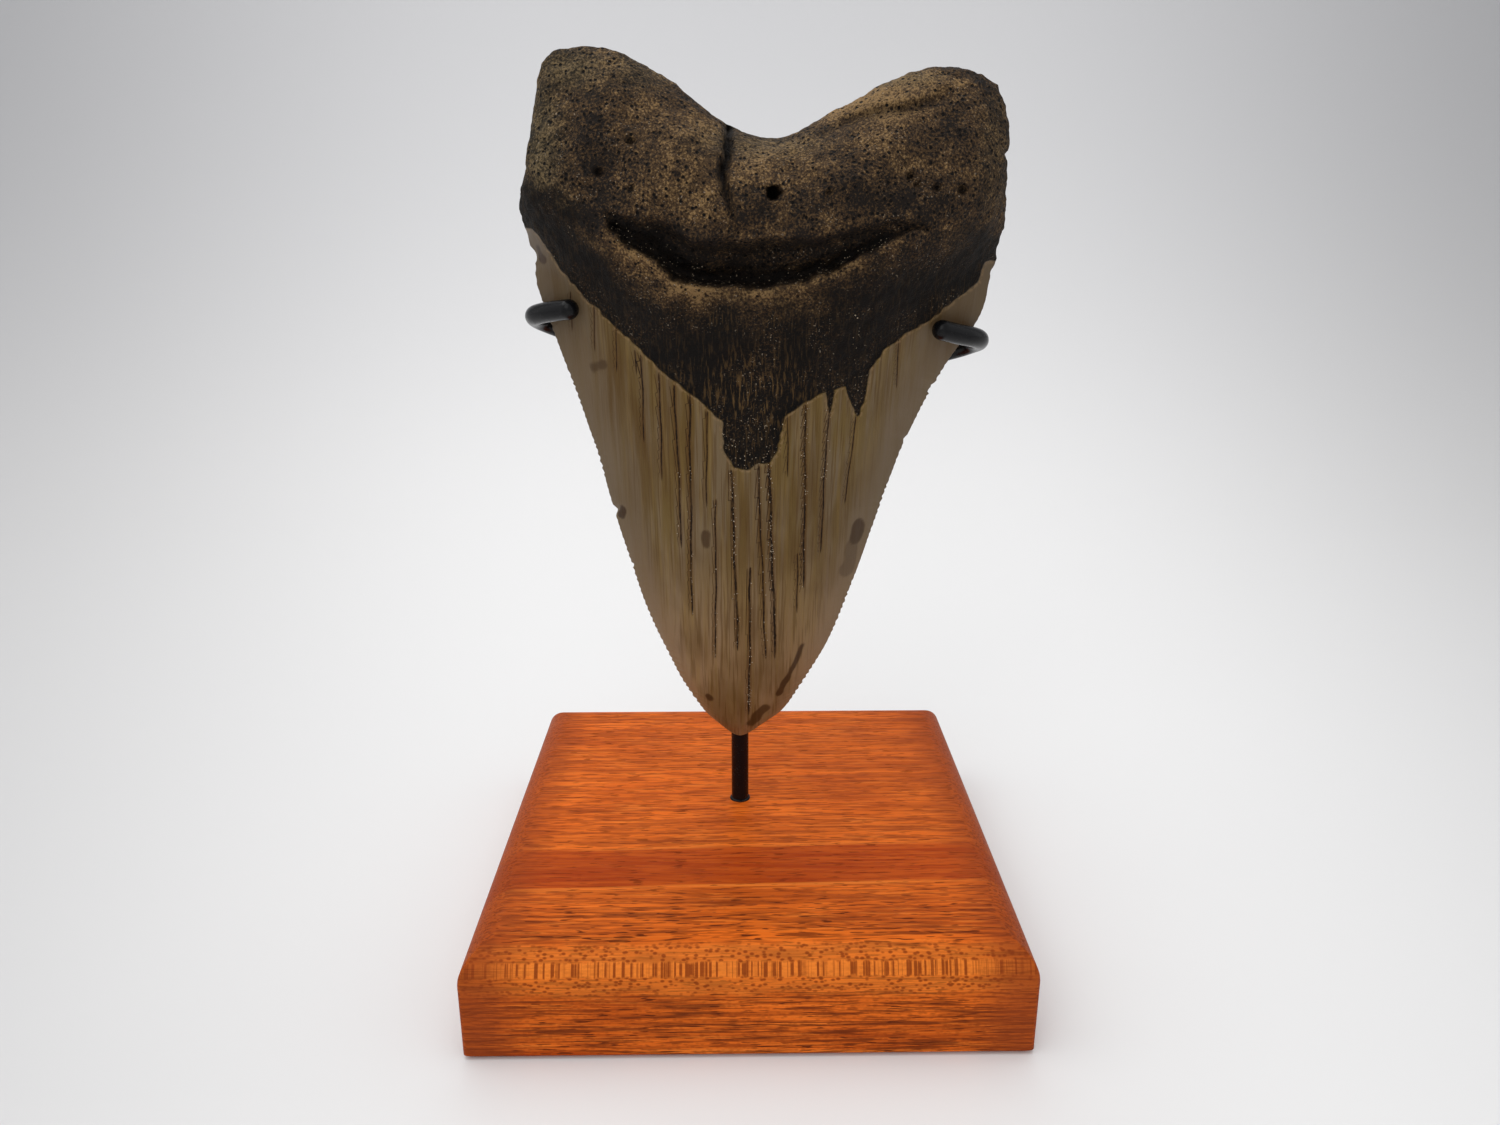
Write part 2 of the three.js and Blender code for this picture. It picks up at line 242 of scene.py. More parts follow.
def socket_ring(like, height):
    """Points round the post's socket, each in the same direction as one of another ring."""
    ring = []
    for across, along, _ in like:
        turn = math.atan2(along - POST_PLACE[1], across - POST_PLACE[0])
        x = POST_PLACE[0] + SOCKET_RADIUS * math.cos(turn)
        y = POST_PLACE[1] + SOCKET_RADIUS * math.sin(turn)
        ring.append((x, y, height))
    return ring


def block_rings():
    profile = [(BASE_FOOT_CHAMFER, 0), (0, BASE_FOOT_CHAMFER)]
    for step in range(ROUND_STEPS + 1):
        turn = step / ROUND_STEPS * math.pi / 2
        inset = BASE_TOP_ROUND * (1 - math.cos(turn))
        profile.append((inset, BASE_HEIGHT - BASE_TOP_ROUND * (1 - math.sin(turn))))
    rings = []
    for inset, height in profile:
        corner = max(BASE_CORNER_ROUND - inset, SHARPEST_CORNER)
        rings.append(square_ring(BASE_HALF - inset, corner, height))
    rings.append(socket_ring(rings[-1], BASE_HEIGHT))
    rings.append(socket_ring(rings[-1], BASE_HEIGHT - SOCKET_DEPTH))
    return rings


def loft(name, rings):
    """A closed skin over rings that all have as many points."""
    around = len(rings[0])
    points = np.array([point for ring in rings for point in ring]) * MM
    faces = [list(range(around))[::-1]]
    for level in range(len(rings) - 1):
        for place in range(around):
            here = level * around + place
            beside = level * around + (place + 1) % around
            faces.append((here, beside, beside + around, here + around))
    faces.append([(len(rings) - 1) * around + place for place in range(around)])
    mesh = bpy.data.meshes.new(name)
    mesh.from_pydata(points, [], faces)
    return mesh


def show(name, mesh, finish):
    """A smooth-shaded piece at the origin."""
    mesh.name = name
    if finish.name not in mesh.materials:
        mesh.materials.clear()
        mesh.materials.append(finish)
    mesh.polygons.foreach_set("use_smooth", [True] * len(mesh.polygons))
    piece = bpy.data.objects.new(name, mesh)
    bpy.context.scene.collection.objects.link(piece)
    print(name, len(mesh.vertices), "points", len(mesh.polygons), "faces")
    return piece


SHARP_EDGE = math.radians(32)
block_mesh = loft("base_block", block_rings())

# %% [markdown]
# ## Oiled red-brown wood
# A board shows its growth layers as streaks on its faces. Here the layers lean at 45 degrees, so
# they cross both the top and the front. One number, the depth through the layers, places the dark
# red band on the top and its two light border lines. Another, the distance outwards over the round
# of the front edge, places what shows there: a fine net of pores, and a strip of short upright
# bars. Over both, the round is painted lighter, most along the bars: a painted highlight.

# %% Wood finish
WOOD_ORANGE = (0.80, 0.158, 0.014)
WOOD_BROWN = (0.21, 0.032, 0.004)
WOOD_RED = (0.36, 0.042, 0.003)
WOOD_END_AND_SHADE = (0.30, 0.052, 0.009)
WOOD_PALE_AND_HIGHLIGHT = (0.88, 0.235, 0.030)
WOOD_PORE = (0.10, 0.017, 0.004)
BAND_LAYERS = (23.9, 32.2)
BAND_TILT = 0.018
FIGURE_TURN = math.radians(62)
NET_BULGE = (4.3, 5.3)
BAR_BULGE = (5.85, 5.93)


def wood_finish():
    material, paper = new_finish("oiled_wood")
    place = millimetres(paper)
    across = paper.node("ShaderNodeSeparateXYZ", {}, {0: place})
    along = across.sibling("Y")
    up = across.sibling("Z")
    cut = (up - along) * math.sqrt(0.5)
    waver = grain(place, (60, 9, 9), detail=2) - 0.5
    layer = cut + waver * 1.2 + across * BAND_TILT
    # Broad streaks, then fibres that are thinner and shorter, then drifts of colour.
    broad = grain(place, (70, 3.4, 2.4), detail=2, shift=3).rises(0.38, 0.64)
    streak = grain(place, (24, 1.2, 0.6), detail=3, roughness=0.62, shift=7).rises(0.46, 0.6)
    fibre = grain(place, (6, 0.5, 0.26), detail=2, roughness=0.6, shift=11).rises(0.48, 0.6)
    drift = grain(place, (20, 12, 12), detail=2, shift=13).rises(0.42, 0.7)
    tone = blend(broad * 0.28, WOOD_ORANGE, WOOD_BROWN)
    tone = blend(streak * 0.4, tone, WOOD_BROWN)
    tone = blend(drift * 0.3, tone, WOOD_RED)
    bright = grain(place, (14, 0.6, 0.35), detail=2, shift=19).rises(0.54, 0.66)
    tone = blend(bright * 0.4, tone, WOOD_PALE_AND_HIGHLIGHT)
    tone = blend(fibre * 0.5, tone, WOOD_BROWN)
    # The dark red band with its light borders.
    low, high = BAND_LAYERS
    band = layer.rises(low - 0.4, low + 0.4) * layer.rises(high + 0.4, high - 0.4)
    borders = abs(layer - low).rises(0.5, 0.1).most(abs(layer - high).rises(0.5, 0.1))
    tone = blend(band * (0.66 + streak * 0.25), tone, WOOD_RED)
    tone = blend(borders * grain(place, (30, 3, 3), shift=5).rises(0.35, 0.6) * 0.6, tone, WOOD_PALE_AND_HIGHLIGHT)
    # Long pores show as dashes on the faces. They gather near the front edge and on the front.
    face = (0 - along).rises(BASE_HALF - 1.2, BASE_HALF - 0.3)
    front = layer.rises(32.5, 38).most(face)
    dashes = grain(place, (3.4, 0.42, 0.24), detail=1, shift=23).rises(0.6, 0.66)
    tone = blend(dashes * (front * 0.35 + 0.55), tone, WOOD_PORE)
    wavy = grain(place, (14, 0.8, 0.6), detail=3, roughness=0.66, shift=29, distortion=0.35)
    tone = blend(wavy.rises(0.5, 0.6) * (front * 0.55 + face * 0.15), tone, WOOD_PORE)
    # The round along the front shows a fine net of pores, with upright bars in its middle.
    bulge = (0 - along - BASE_HALF + BASE_TOP_ROUND) * math.sin(FIGURE_TURN)
    bulge = bulge + (up - BASE_HEIGHT + BASE_TOP_ROUND) * math.cos(FIGURE_TURN)
    torn = (grain(place, (5, 5, 5), detail=2, shift=47) - 0.5) * 1.6
    pore_net_and_highlight = (bulge + torn).rises(*NET_BULGE)
    ragged = (grain(place, (0.8, 6, 6), detail=1, shift=43) - 0.5) * 0.18
    bar_and_highlight_strip = (bulge + ragged).rises(*BAR_BULGE)
    # Painted highlight: the round is painted lighter over the net of pores.
    tone = blend(pore_net_and_highlight * 0.4, tone, WOOD_PALE_AND_HIGHLIGHT)
    cells = paper.node("ShaderNodeVectorMath", {"operation": "DIVIDE"}, {0: place, 1: (0.95, 0.6, 0.6)})
    spots = paper.node("ShaderNodeTexVoronoi", {}, {"Vector": cells, "Scale": 1.0})
    tone = blend(spots.rises(0.52, 0.2) * pore_net_and_highlight.most(face * 0.4) * 0.8, tone, WOOD_BROWN)
    bars = grain(place, (0.42, 70, 70), detail=2, shift=31).rises(0.46, 0.6)
    # Painted highlight: a lighter strip along the bars, in the middle of the round.
    tone = blend(bar_and_highlight_strip * 0.65, tone, WOOD_PALE_AND_HIGHLIGHT)
    tone = blend(bars * bar_and_highlight_strip * 0.85, tone, WOOD_BROWN)
    # End grain on the two sides drinks more oil.
    ends = abs(across).rises(BASE_HALF - 12, BASE_HALF - 2.5)
    tone = blend(ends * 0.75, tone, WOOD_END_AND_SHADE)
    # Painted shade: the top is darker towards its right side and towards its back.
    painted_shade = across.rises(-5, 44) * along.rises(-30, 30)
    tone = blend(painted_shade * 0.4, tone, WOOD_END_AND_SHADE)
    tone = blend(ends * fibre * 0.35, tone, WOOD_PORE)
    worn = grain(place, (18, 5, 5), detail=2, shift=41)
    height = 0 - fibre * 0.4 - dashes * 0.8
    close_finish(paper, {
        "Base Color": tone,
        "Roughness": worn * 0.14 + dashes * 0.2 + 0.4,
        "Specular IOR Level": 0.05,
        "Normal": raised(height, 0.3, 0.12),
    })
    return material


oiled_wood = wood_finish()
base_block = show("base_block", block_mesh, oiled_wood)
base_block.data.set_sharp_from_angle(angle=SHARP_EDGE)
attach(base_block, "root")
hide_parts("base")

# %% [markdown]
# ## Smooth curves
# The wire's bends and the tooth's outline are both drawn through a few chosen points. A Catmull-Rom
# curve goes through every point, and needs no handles. Places on it are asked for as shares of its
# length, so that the rows of a mesh come out evenly spaced.

# %% A curve through points
CURVE_SAMPLES = 2400


def spline(points, shares):
    """Places on the smooth curve through some points, at shares of its length."""
    knots = np.array(points, float)
    padded = np.vstack([knots[:1], knots, knots[-1:]])
    walk = np.linspace(0, len(knots) - 1, CURVE_SAMPLES)
    leg = np.minimum(walk.astype(int), len(knots) - 2)
    t = (walk - leg)[:, None]
    before, start, end, after = (padded[leg + step] for step in range(4))
    leaving = (end - before) / 2
    arriving = (after - start) / 2
    square = 3 * (end - start) - 2 * leaving - arriving
    cube = 2 * (start - end) + leaving + arriving
    line = start + leaving * t + square * t ** 2 + cube * t ** 3
    gone = np.concatenate([[0], np.cumsum(np.linalg.norm(np.diff(line, axis=0), axis=1))])
    return np.stack([np.interp(shares, gone / gone[-1], axis) for axis in line.T], -1)


# %% [markdown]
# ## The post and the bent wire
# Both are painted steel rod, so one node modifier makes them: it turns a chain of points into a
# curve, and sweeps a circle along it. A curve's own bevel would leave flat ends, but the real rod's
# ends are rounded. So the tree narrows the circle near each end by the rule of a half circle. Wire
# radius, ring spacing and sides are inputs.

# %% A node tree that sweeps a rod
def wire_tree():
    tree = bpy.data.node_groups.new("rod_along_points", "GeometryNodeTree")
    face = tree.interface
    face.new_socket("Points", in_out="INPUT", socket_type="NodeSocketGeometry")
    kinds = {"Wire radius": "Float", "Ring spacing": "Float", "Sides": "Int", "Paint": "Material"}
    for name, kind in kinds.items():
        face.new_socket(name, in_out="INPUT", socket_type="NodeSocket" + kind)
    face.new_socket("Rod", in_out="OUTPUT", socket_type="NodeSocketGeometry")
    paper = Socket(tree)
    points = paper.node("NodeGroupInput")
    radius = points.sibling("Wire radius")
    spacing = points.sibling("Ring spacing")
    curve = paper.node("GeometryNodeMeshToCurve", {}, {"Mesh": points})
    even = {"Curve": curve, "Length": spacing}
    curve = paper.node("GeometryNodeResampleCurve", {"mode": "LENGTH"}, even)
    gone = paper.node("GeometryNodeSplineParameter", output="Length")
    whole = paper.node("GeometryNodeSplineLength", output="Length")
    from_end = gone.least(whole - gone)
    short_of_full = 1 - (from_end / radius).least(1)
    width = (1 - short_of_full * short_of_full).most(0) ** 0.5
    circle = paper.node("GeometryNodeCurvePrimitiveCircle", {}, {"Resolution": points.sibling("Sides")})
    circle.tree.links.new(radius.plug, circle.plug.node.inputs["Radius"])
    sweep = {"Curve": curve, "Profile Curve": circle, "Scale": width, "Fill Caps": True}
    rod = paper.node("GeometryNodeCurveToMesh", {}, sweep)
    rod = paper.node("GeometryNodeMergeByDistance", {}, {"Geometry": rod, "Distance": 0.01 * MM})
    rod = paper.node("GeometryNodeRealizeInstances", {}, {0: rod})
    rod = paper.node("GeometryNodeSetMaterial", {}, {"Geometry": rod, "Material": points.sibling("Paint")})
    paper.node("NodeGroupOutput", {}, {0: rod})
    return tree


def through_nodes(name, mesh, tree, inputs):
    """The plain mesh that a node modifier makes of a mesh."""
    host = bpy.data.objects.new(name + "_host", mesh)
    bpy.context.scene.collection.objects.link(host)
    modifier = host.modifiers.new(name, "NODES")
    modifier.node_group = tree
    sockets = {item.name: item.identifier for item in tree.interface.items_tree if item.in_out == "INPUT"}
    for label, value in inputs.items():
        modifier[sockets[label]] = value
    host.update_tag()
    seen = bpy.context.evaluated_depsgraph_get()
    made = bpy.data.meshes.new_from_object(host.evaluated_get(seen))
    bpy.data.objects.remove(host)
    return made


def chain(points):
    """A mesh of points joined by edges, in the order of the list."""
    mesh = bpy.data.meshes.new("chain")
    mesh.from_pydata(np.array(points) * MM, [(k, k + 1) for k in range(len(points) - 1)], [])
    return mesh


rod_along_points = wire_tree()
print("rod tree has", len(rod_along_points.nodes), "nodes")

# %% [markdown]
# ## Black gloss paint
# The rod is dipped or sprayed in black, and its only visible detail is the small, sharp highlights
# on its bends. A dark base under a clear coat gives those, and a faint waviness of the paint keeps
# them from looking like glass.

# %% Paint finish
PAINT_BLACK = (0.0042, 0.0042, 0.0048)
PAINT_DUST = (0.022, 0.021, 0.02)


def paint_finish():
    material, paper = new_finish("black_gloss_paint")
    place = millimetres(paper)
    sag = grain(place, (1.8, 1.8, 2.6), detail=2)
    dust = grain(place, (0.6, 0.6, 0.6), detail=3, shift=5).rises(0.6, 0.8)
    close_finish(paper, {
        "Base Color": blend(dust * 0.5, PAINT_BLACK, PAINT_DUST),
        "Roughness": dust * 0.2 + sag * 0.1 + 0.2,
        "Specular IOR Level": 0.16,
        "Coat Weight": 0.04,
        "Coat Roughness": 0.1,
        "Normal": raised(sag, 0.15, 0.1),
    })
    return material


black_paint = paint_finish()

# %% Sweep the post and the cradle
RING_SPACING = 0.25
ROD_SIDES = 28
POST_LOW, POST_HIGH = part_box("post")
CRADLE_APEX = 94
POST_Y = POST_PLACE[1]
LEFT_HOOK = [
    (-27.6, -9.5, 111), (-29.6, -8, 110.7), (-31.7, -6.2, 110.3), (-33.4, -4.2, 109.8),
    (-34.2, -2, 109.3), (-33.9, 0.2, 108.6), (-32.6, 1.6, 107.8),
]
ARMS = [
    (-30.2, POST_Y, 106.8), (-24, POST_Y, 104.2), (-14, POST_Y, 99.9), (-6, POST_Y, 96.2),
    (*POST_PLACE, CRADLE_APEX),
    (4, POST_Y, 95.4), (14, POST_Y, 98), (24, POST_Y, 100.6), (33.4, POST_Y, 103.1),
]
RIGHT_HOOK = [
    (36, 1.5, 103.9), (37.6, 0.1, 104.7), (38.1, -2, 105.3), (37.4, -4.3, 105.9),
    (35.7, -6.4, 106.5), (33.2, -8.2, 107.1), (30.6, -9.7, 107.8),
]
CRADLE_POINTS = 220


def rod(name, points, replaced):
    inputs = {
        "Wire radius": WIRE_RADIUS * MM,
        "Ring spacing": RING_SPACING * MM,
        "Sides": ROD_SIDES,
        "Paint": black_paint,
    }
    piece = show(name, through_nodes(name, chain(points), rod_along_points, inputs), black_paint)
    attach(piece, "root")
    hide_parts(replaced)


def rounded_out(points):
    """The same points with each end moved on by the rod's radius, where its round end finishes."""
    first, last = points[0] - points[1], points[-1] - points[-2]
    points[0] += first / np.linalg.norm(first) * WIRE_RADIUS
    points[-1] += last / np.linalg.norm(last) * WIRE_RADIUS
    return points


post_points = [(*POST_PLACE, POST_LOW.z / MM), (*POST_PLACE, POST_HIGH.z / MM)]
rod("post_rod", post_points, "post")
cradle_line = spline(LEFT_HOOK + ARMS + RIGHT_HOOK, np.linspace(0, 1, CRADLE_POINTS))
rod("cradle_wire", rounded_out(cradle_line), "cradle")

# %% [markdown]
# ## The weld and the bead at the foot
# Where the bent wire meets the post, the real joint is a lump of weld under the paint. At the
# post's foot the paint has run into a low bead round the socket. Both are rings of points that
# swell and shrink, lofted like the block.

# %% Loft the weld and the bead
WELD_REACH = 2.7
WELD_HEIGHT = 5.2
BEAD_REACH = 1.95
BEAD_HEIGHT = 0.7
LUMP_SIDES = 36
LUMP_LEVELS = 14


def lump(name, bottom, height, reach, waist, unevenness):
    """A closed lump round the post. Its section is a half ellipse over waist, and noise makes it uneven."""
    rings = []
    for level in range(LUMP_LEVELS + 1):
        share = level / LUMP_LEVELS
        swell = math.sqrt(max(0, 1 - (2 * share - 1) ** 2))
        ring = []
        for side in range(LUMP_SIDES):
            turn = 2 * math.pi * side / LUMP_SIDES
            away = noise.noise((math.cos(turn) * 1.5, math.sin(turn) * 1.5, share * 3 + bottom))
            radius = waist + (reach - waist) * swell * (1 + unevenness * away)
            x = POST_PLACE[0] + radius * math.cos(turn)
            y = POST_PLACE[1] + radius * math.sin(turn)
            ring.append((x, y, bottom + share * height))
        rings.append(ring)
    piece = show(name, loft(name, rings), black_paint)
    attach(piece, "root")


lump("weld_lump", CRADLE_APEX - WELD_HEIGHT * 0.62, WELD_HEIGHT, WELD_REACH, 0.6, 0.35)
lump("foot_bead", BASE_HEIGHT - BEAD_HEIGHT / 2, BEAD_HEIGHT, BEAD_REACH, WIRE_RADIUS * 0.9, 0.3)

# %% [markdown]
# ## The tooth's own shape
# The tooth is one natural piece, and its parts run into each other: a flat lip side, a swollen
# tongue side, a thin crown with sharp edges and a thick root with two lobes. Sculpting by hand
# can't be repeated, so its outline is four smooth edges, and a sheet stretched between them (a
# Coons patch) gives each point a place across and up. Depth is then a formula of that place: how
# full the section is there, times the height of the crest.

# %% Outline of the tooth
TOOTH_PLACE = (-1.2, 0.1, 34.1)
LEFT_EDGE = [
    (-3.7, 2.4), (-6.6, 5.3), (-10.1, 10.7), (-13.7, 18.5), (-16.7, 26.1), (-20.9, 40.8), (-24.4, 54.7),
    (-28.6, 68.1), (-31.2, 76), (-32.6, 81), (-32.5, 83.4), (-33.8, 91), (-31.6, 98.9), (-29.9, 107.2),
    (-29.3, 110.1),
]
RIGHT_EDGE = [
    (4, 2.4), (7.7, 5.2), (11.4, 10.7), (15.6, 18.5), (18.6, 26.1), (23.3, 40.8), (27.9, 54.7),
    (34.2, 67.5), (39.1, 74.9), (40.6, 81), (42.1, 88), (40.8, 96.5), (40.1, 104), (38.3, 109.1),
]
TIP_EDGE = [(-3.7, 2.4), (0, 0), (4, 2.4)]
ROOT_TOP_EDGE = [
    (-29.3, 110.1), (-27.3, 113.2), (-24, 114.2), (-20.5, 114), (-16.6, 113.1), (-11.1, 110.2),
    (-7.3, 107.7), (-3.9, 105), (1.6, 102.4), (4.7, 101.7), (8.4, 102.5), (16.8, 106.9),
    (25, 110.8), (29.7, 111.6), (34.5, 111.1), (38.3, 109.1),
]
CREST = [
    (0, 2.6), (4, 5), (10, 7.4), (20, 9.8), (32, 12), (44, 14), (56, 16), (66, 17.8), (74, 19.4),
    (80, 20.8), (86, 22), (92, 22.2), (98, 21), (104, 18.8), (110, 16.4), (115, 14.4),
]
COLUMNS = 190
ROWS = 372


def eased(count):
    """Shares from 0 to 1 that sit closer together at both ends, where the surface turns over."""
    t = np.linspace(0, 1, count + 1)
    return 0.4 * t + 0.6 * (0.5 - 0.5 * np.cos(math.pi * t))


def stretched_sheet(across, up):
    """Place of each point of the sheet, [up, across], between the tooth's four edges."""
    u = across[None, :, None]
    v = up[:, None, None]
    left = spline(LEFT_EDGE, up)[:, None]
    right = spline(RIGHT_EDGE, up)[:, None]
    tip = spline(TIP_EDGE, across)[None]
    top = spline(ROOT_TOP_EDGE, across)[None]
    low = (1 - u) * left[0] + u * right[0]
    high = (1 - u) * left[-1] + u * right[-1]
    return (1 - u) * left + u * right + (1 - v) * (tip - low) + v * (top - high)


across = eased(COLUMNS)
up = eased(ROWS)
sheet = stretched_sheet(across, up)
sheet_x = sheet[..., 0]
sheet_z = sheet[..., 1]
off_centre = np.abs(2 * across - 1)[None, :] + 0 * up[:, None]
climb = up[:, None] + 0 * across[None, :]
print("sheet of", sheet_x.size, "places,", round(np.ptp(sheet_x), 1), "by", round(np.ptp(sheet_z), 1), "mm")

# %% Depth of the two sides
CROWN_EDGE_DEPTH = 2.2
ROOT_EDGE_DEPTH = 9
ROOT_BEGINS_AT_MIDDLE = 58
ROOT_BEGINS_AT_EDGES = 84
ROOT_BLEND = 18
CROWN_SECTION_POWER = 1.9
ROOT_SECTION_POWER = 2.8
TOP_ROUNDING = 0.1
TIP_ROUNDING = 0.05


def smooth(value, low, high):
    t = np.clip((value - low) / (high - low), 0, 1)
    return t * t * (3 - 2 * t)


def half_circle(t):
    return np.sqrt(np.clip(1 - np.clip(t, 0, 1) ** 2, 0, 1))


root_begins = ROOT_BEGINS_AT_MIDDLE + (ROOT_BEGINS_AT_EDGES - ROOT_BEGINS_AT_MIDDLE) * off_centre
root_share = smooth(sheet_z, root_begins, root_begins + ROOT_BLEND)
crown_section = 1 - off_centre ** CROWN_SECTION_POWER
root_section = half_circle(off_centre ** (ROOT_SECTION_POWER / 2))
section = crown_section + (root_section - crown_section) * root_share
fullness = section * half_circle((climb - 1 + TOP_ROUNDING) / TOP_ROUNDING)
fullness = fullness * half_circle(1 - climb / TIP_ROUNDING)
edge_depth = CROWN_EDGE_DEPTH + (ROOT_EDGE_DEPTH - CROWN_EDGE_DEPTH) * root_share
crest_line = spline(CREST, np.linspace(0, 1, CURVE_SAMPLES))
crest_depth = np.interp(sheet_z, crest_line[:, 0], crest_line[:, 1])
print("deepest at the crest:", round(crest_depth.max(), 1), "mm in front of the lip side")

# %% [markdown]
# ## Where the enamel ends
# On the crown, shiny enamel a little over half a millimetre thick lies over the softer core. Its
# upper border is a chevron on each side, and on the tongue side a patch at the chevron's point has
# peeled off. The mesh can't follow such a ragged line with its rows. So each point stores its
# distance to the border, above it or below it, and both the step in the surface and the change of
# colour are worked out from that one number.

# %% Distance to the enamel border
BORDER_REACH = 60
FRONT_BORDER = [
    (-31.4, 89), (-28.9, 85.2), (-26.8, 82.2), (-24.1, 79.1), (-21.2, 76.4), (-15.2, 71.2),
    (-11.8, 67.9), (-9.1, 66.1), (-6, 63.6), (-2.7, 60.5), (-2.5, 58.2), (-2.3, 55.7), (-0.8, 53.1),
    (1.3, 52.8), (2.9, 53.9), (4.8, 53.8), (6.1, 55.9), (6.6, 59.5), (6.9, 61.2), (9.3, 63),
    (12.4, 64.8), (13.3, 64.9), (14.2, 61.1), (14.8, 65.1), (16.5, 65.7), (17.7, 62.5),
    (18.9, 60.2), (19.7, 63), (20.3, 67.9), (22.6, 71), (25.7, 73.2), (30.5, 75.6), (34.2, 78.4),
    (38.3, 80.7), (39.1, 84),
]
BACK_BORDER = [(-31.4, 89), (-20, 84), (-8, 78), (3, 75.5), (14, 77.5), (28, 82), (39.1, 84)]
ENAMEL_THICKNESS = 0.6
STEP_WIDTH = 0.5


def nearest(line, x, z):
    """Share along a line of the place on it nearest to each point, and the distance, positive on its left."""
    best = np.full(x.shape, np.inf)
    share = np.zeros(x.shape)
    side = np.zeros(x.shape)
    legs = np.diff(line, axis=0)
    for k, (start, leg) in enumerate(zip(line, legs)):
        dx = x - start[0]
        dz = z - start[1]
        t = np.clip((dx * leg[0] + dz * leg[1]) / (leg @ leg), 0, 1)
        gap = np.hypot(dx - t * leg[0], dz - t * leg[1])
        closer = gap < best
        best = np.where(closer, gap, best)
        share = np.where(closer, (k + t) / len(legs), share)
        side = np.where(closer, np.sign(leg[0] * dz - leg[1] * dx), side)
    return share, best * side


def above_border(border):
    line = np.array([(-BORDER_REACH, border[0][1]), *border, (BORDER_REACH, border[-1][1])])
    gap = np.abs(nearest(line, sheet_x, sheet_z)[1])
    return np.where(sheet_z > np.interp(sheet_x, line[:, 0], line[:, 1]), gap, -gap)


def speckle(x, z, length, seed):
    """Noise from about -1 to 1 over the sheet, with lumps of so many millimetres."""
    flat = np.stack([x.ravel() / length, z.ravel() / length, np.full(x.size, seed)], -1)
    return np.array([noise.noise(place) for place in flat]).reshape(x.shape)


front_gap = above_border(FRONT_BORDER) + 0.34 * speckle(sheet_x, sheet_z, 1.1, 1.5)
back_gap = above_border(BACK_BORDER) + 0.5 * speckle(sheet_x, sheet_z, 2.5, 2.5)
print("enamel covers", round(100 * np.mean(front_gap < 0)), "% of the tongue side's places")

# %% [markdown]
# ## Relief of the root
# The root is where the tooth was alive: a deep crescent hollow under a brow, a cleft below the
# notch between the lobes, a nutrient hole beside it, a crease across the right lobe, and pits. The
# hole and the pits are round dents, and the others follow paths of a few chosen points. The hollow
# is the deepest: its floor drops straight down behind a crisp lower lip, and its roof slopes gently
# up to the brow. The cleft has a sharp left side and a softer right one.

# %% Dents in the tongue side
HOLLOW_LIP = [
    (-19.5, 91.3), (-18.2, 88.9), (-16, 86.9), (-12.4, 84.4), (-8.6, 81.7), (-5, 80.5), (0.8, 80.3),
    (7.3, 81), (13.1, 82.6), (17.3, 84.9), (20.9, 87), (24.8, 88.4), (28.2, 89),
]
HOLLOW_WIDTH = 7.2
HOLLOW_DEPTH = 5.6
CLEFT = [(-1.5, 105), (-1.7, 99.7), (-2.4, 96.6), (-2.1, 94.2), (-1.4, 92.1), (-0.8, 88.5)]
CLEFT_DEPTH = 3.6
CREASE = [(10.5, 100.8), (13, 102.2), (16, 103.7), (20.4, 104.9), (24.7, 105.4), (28.4, 106.6), (32, 107.6)]
CREASE_DEPTH = 0.9
NUTRIENT_HOLE = (4.9, 93.8, 1.15, 4)
PITS = [
    (-18.2, 89.1, 1), (-15.3, 100.7, 0.8), (-20, 96.6, 0.9), (-15.1, 94.4, 0.7), (12.6, 93.8, 0.6),
    (24.3, 96.1, 0.8), (25.4, 94.9, 0.7), (28.3, 94.5, 0.8), (32.2, 94.3, 0.9),
]
LUMP_HEIGHT = 0.5
LUMP_LENGTH_ACROSS = 4.1
LUMP_LENGTH_UP = 5.3


def path_beside(path, x, z):
    return nearest(spline(path, np.linspace(0, 1, 6 * len(path))), x, z)


def bell(distance, width):
    return np.exp(-(distance / width) ** 2)


def hollow_dent(x, z):
    """The hollow's depth, the low ridge of its lip, and its floor and roof, which take painted shade."""
    share, gap = path_beside(HOLLOW_LIP, x, z)
    gap = gap + 0.7 * speckle(x, z, 2.8, 4.5) + 0.4 * speckle(x, z, 1.0, 6.5)
    taper = np.sin(math.pi * share ** 0.8) ** 0.8
    t = gap / (HOLLOW_WIDTH * taper + 0.25)
    dent = smooth(t, 0, 0.17) * (1 - 0.25 * smooth(t, 0.17, 0.6)) * (1 - smooth(t, 0.68, 1.03)) * taper
    ridge = bell(gap + 0.5, 0.8) * (gap < 0.3) * taper
    reach = 0.55 + 0.35 * smooth(share, 0.36, 0.12)
    floor = smooth(t, -0.02, 0.08) * smooth(t, reach, reach - 0.3) * smooth(taper, 0, 0.4)
    roof = smooth(t, 0.25, 0.5) * smooth(t, 1.12, 0.9) * smooth(taper, 0, 0.4)
    return dent, ridge, floor, roof


def cleft_dent(x, z):
    share, gap = path_beside(CLEFT, x, z)
    fade = (1 - 0.85 * smooth(share, 0.35, 1)) * smooth(share, 0, 0.05)
    dent = np.where(gap < 0, bell(gap, 0.35), bell(gap, 0.65)) * fade
    lower_side = smooth(gap, 0, 1) * bell(gap, 7) * fade
    return dent, lower_side


def crease_dent(x, z):
    share, gap = path_beside(CREASE, x, z)
    taper = np.sin(math.pi * share) ** 0.7
    return bell(gap, 0.8) * taper, bell(gap - 1.7, 1.2) * taper


def round_dents(x, z):
    hole_x, hole_z, hole_radius, hole_depth = NUTRIENT_HOLE
    from_hole = np.hypot(x - hole_x, z - hole_z)
    dent = hole_depth * smooth(from_hole, hole_radius, hole_radius * 0.6)
    for pit_x, pit_z, radius in PITS:
        dent += 1.1 * radius * smooth(np.hypot(x - pit_x, z - pit_z), radius, radius * 0.35)
    return dent


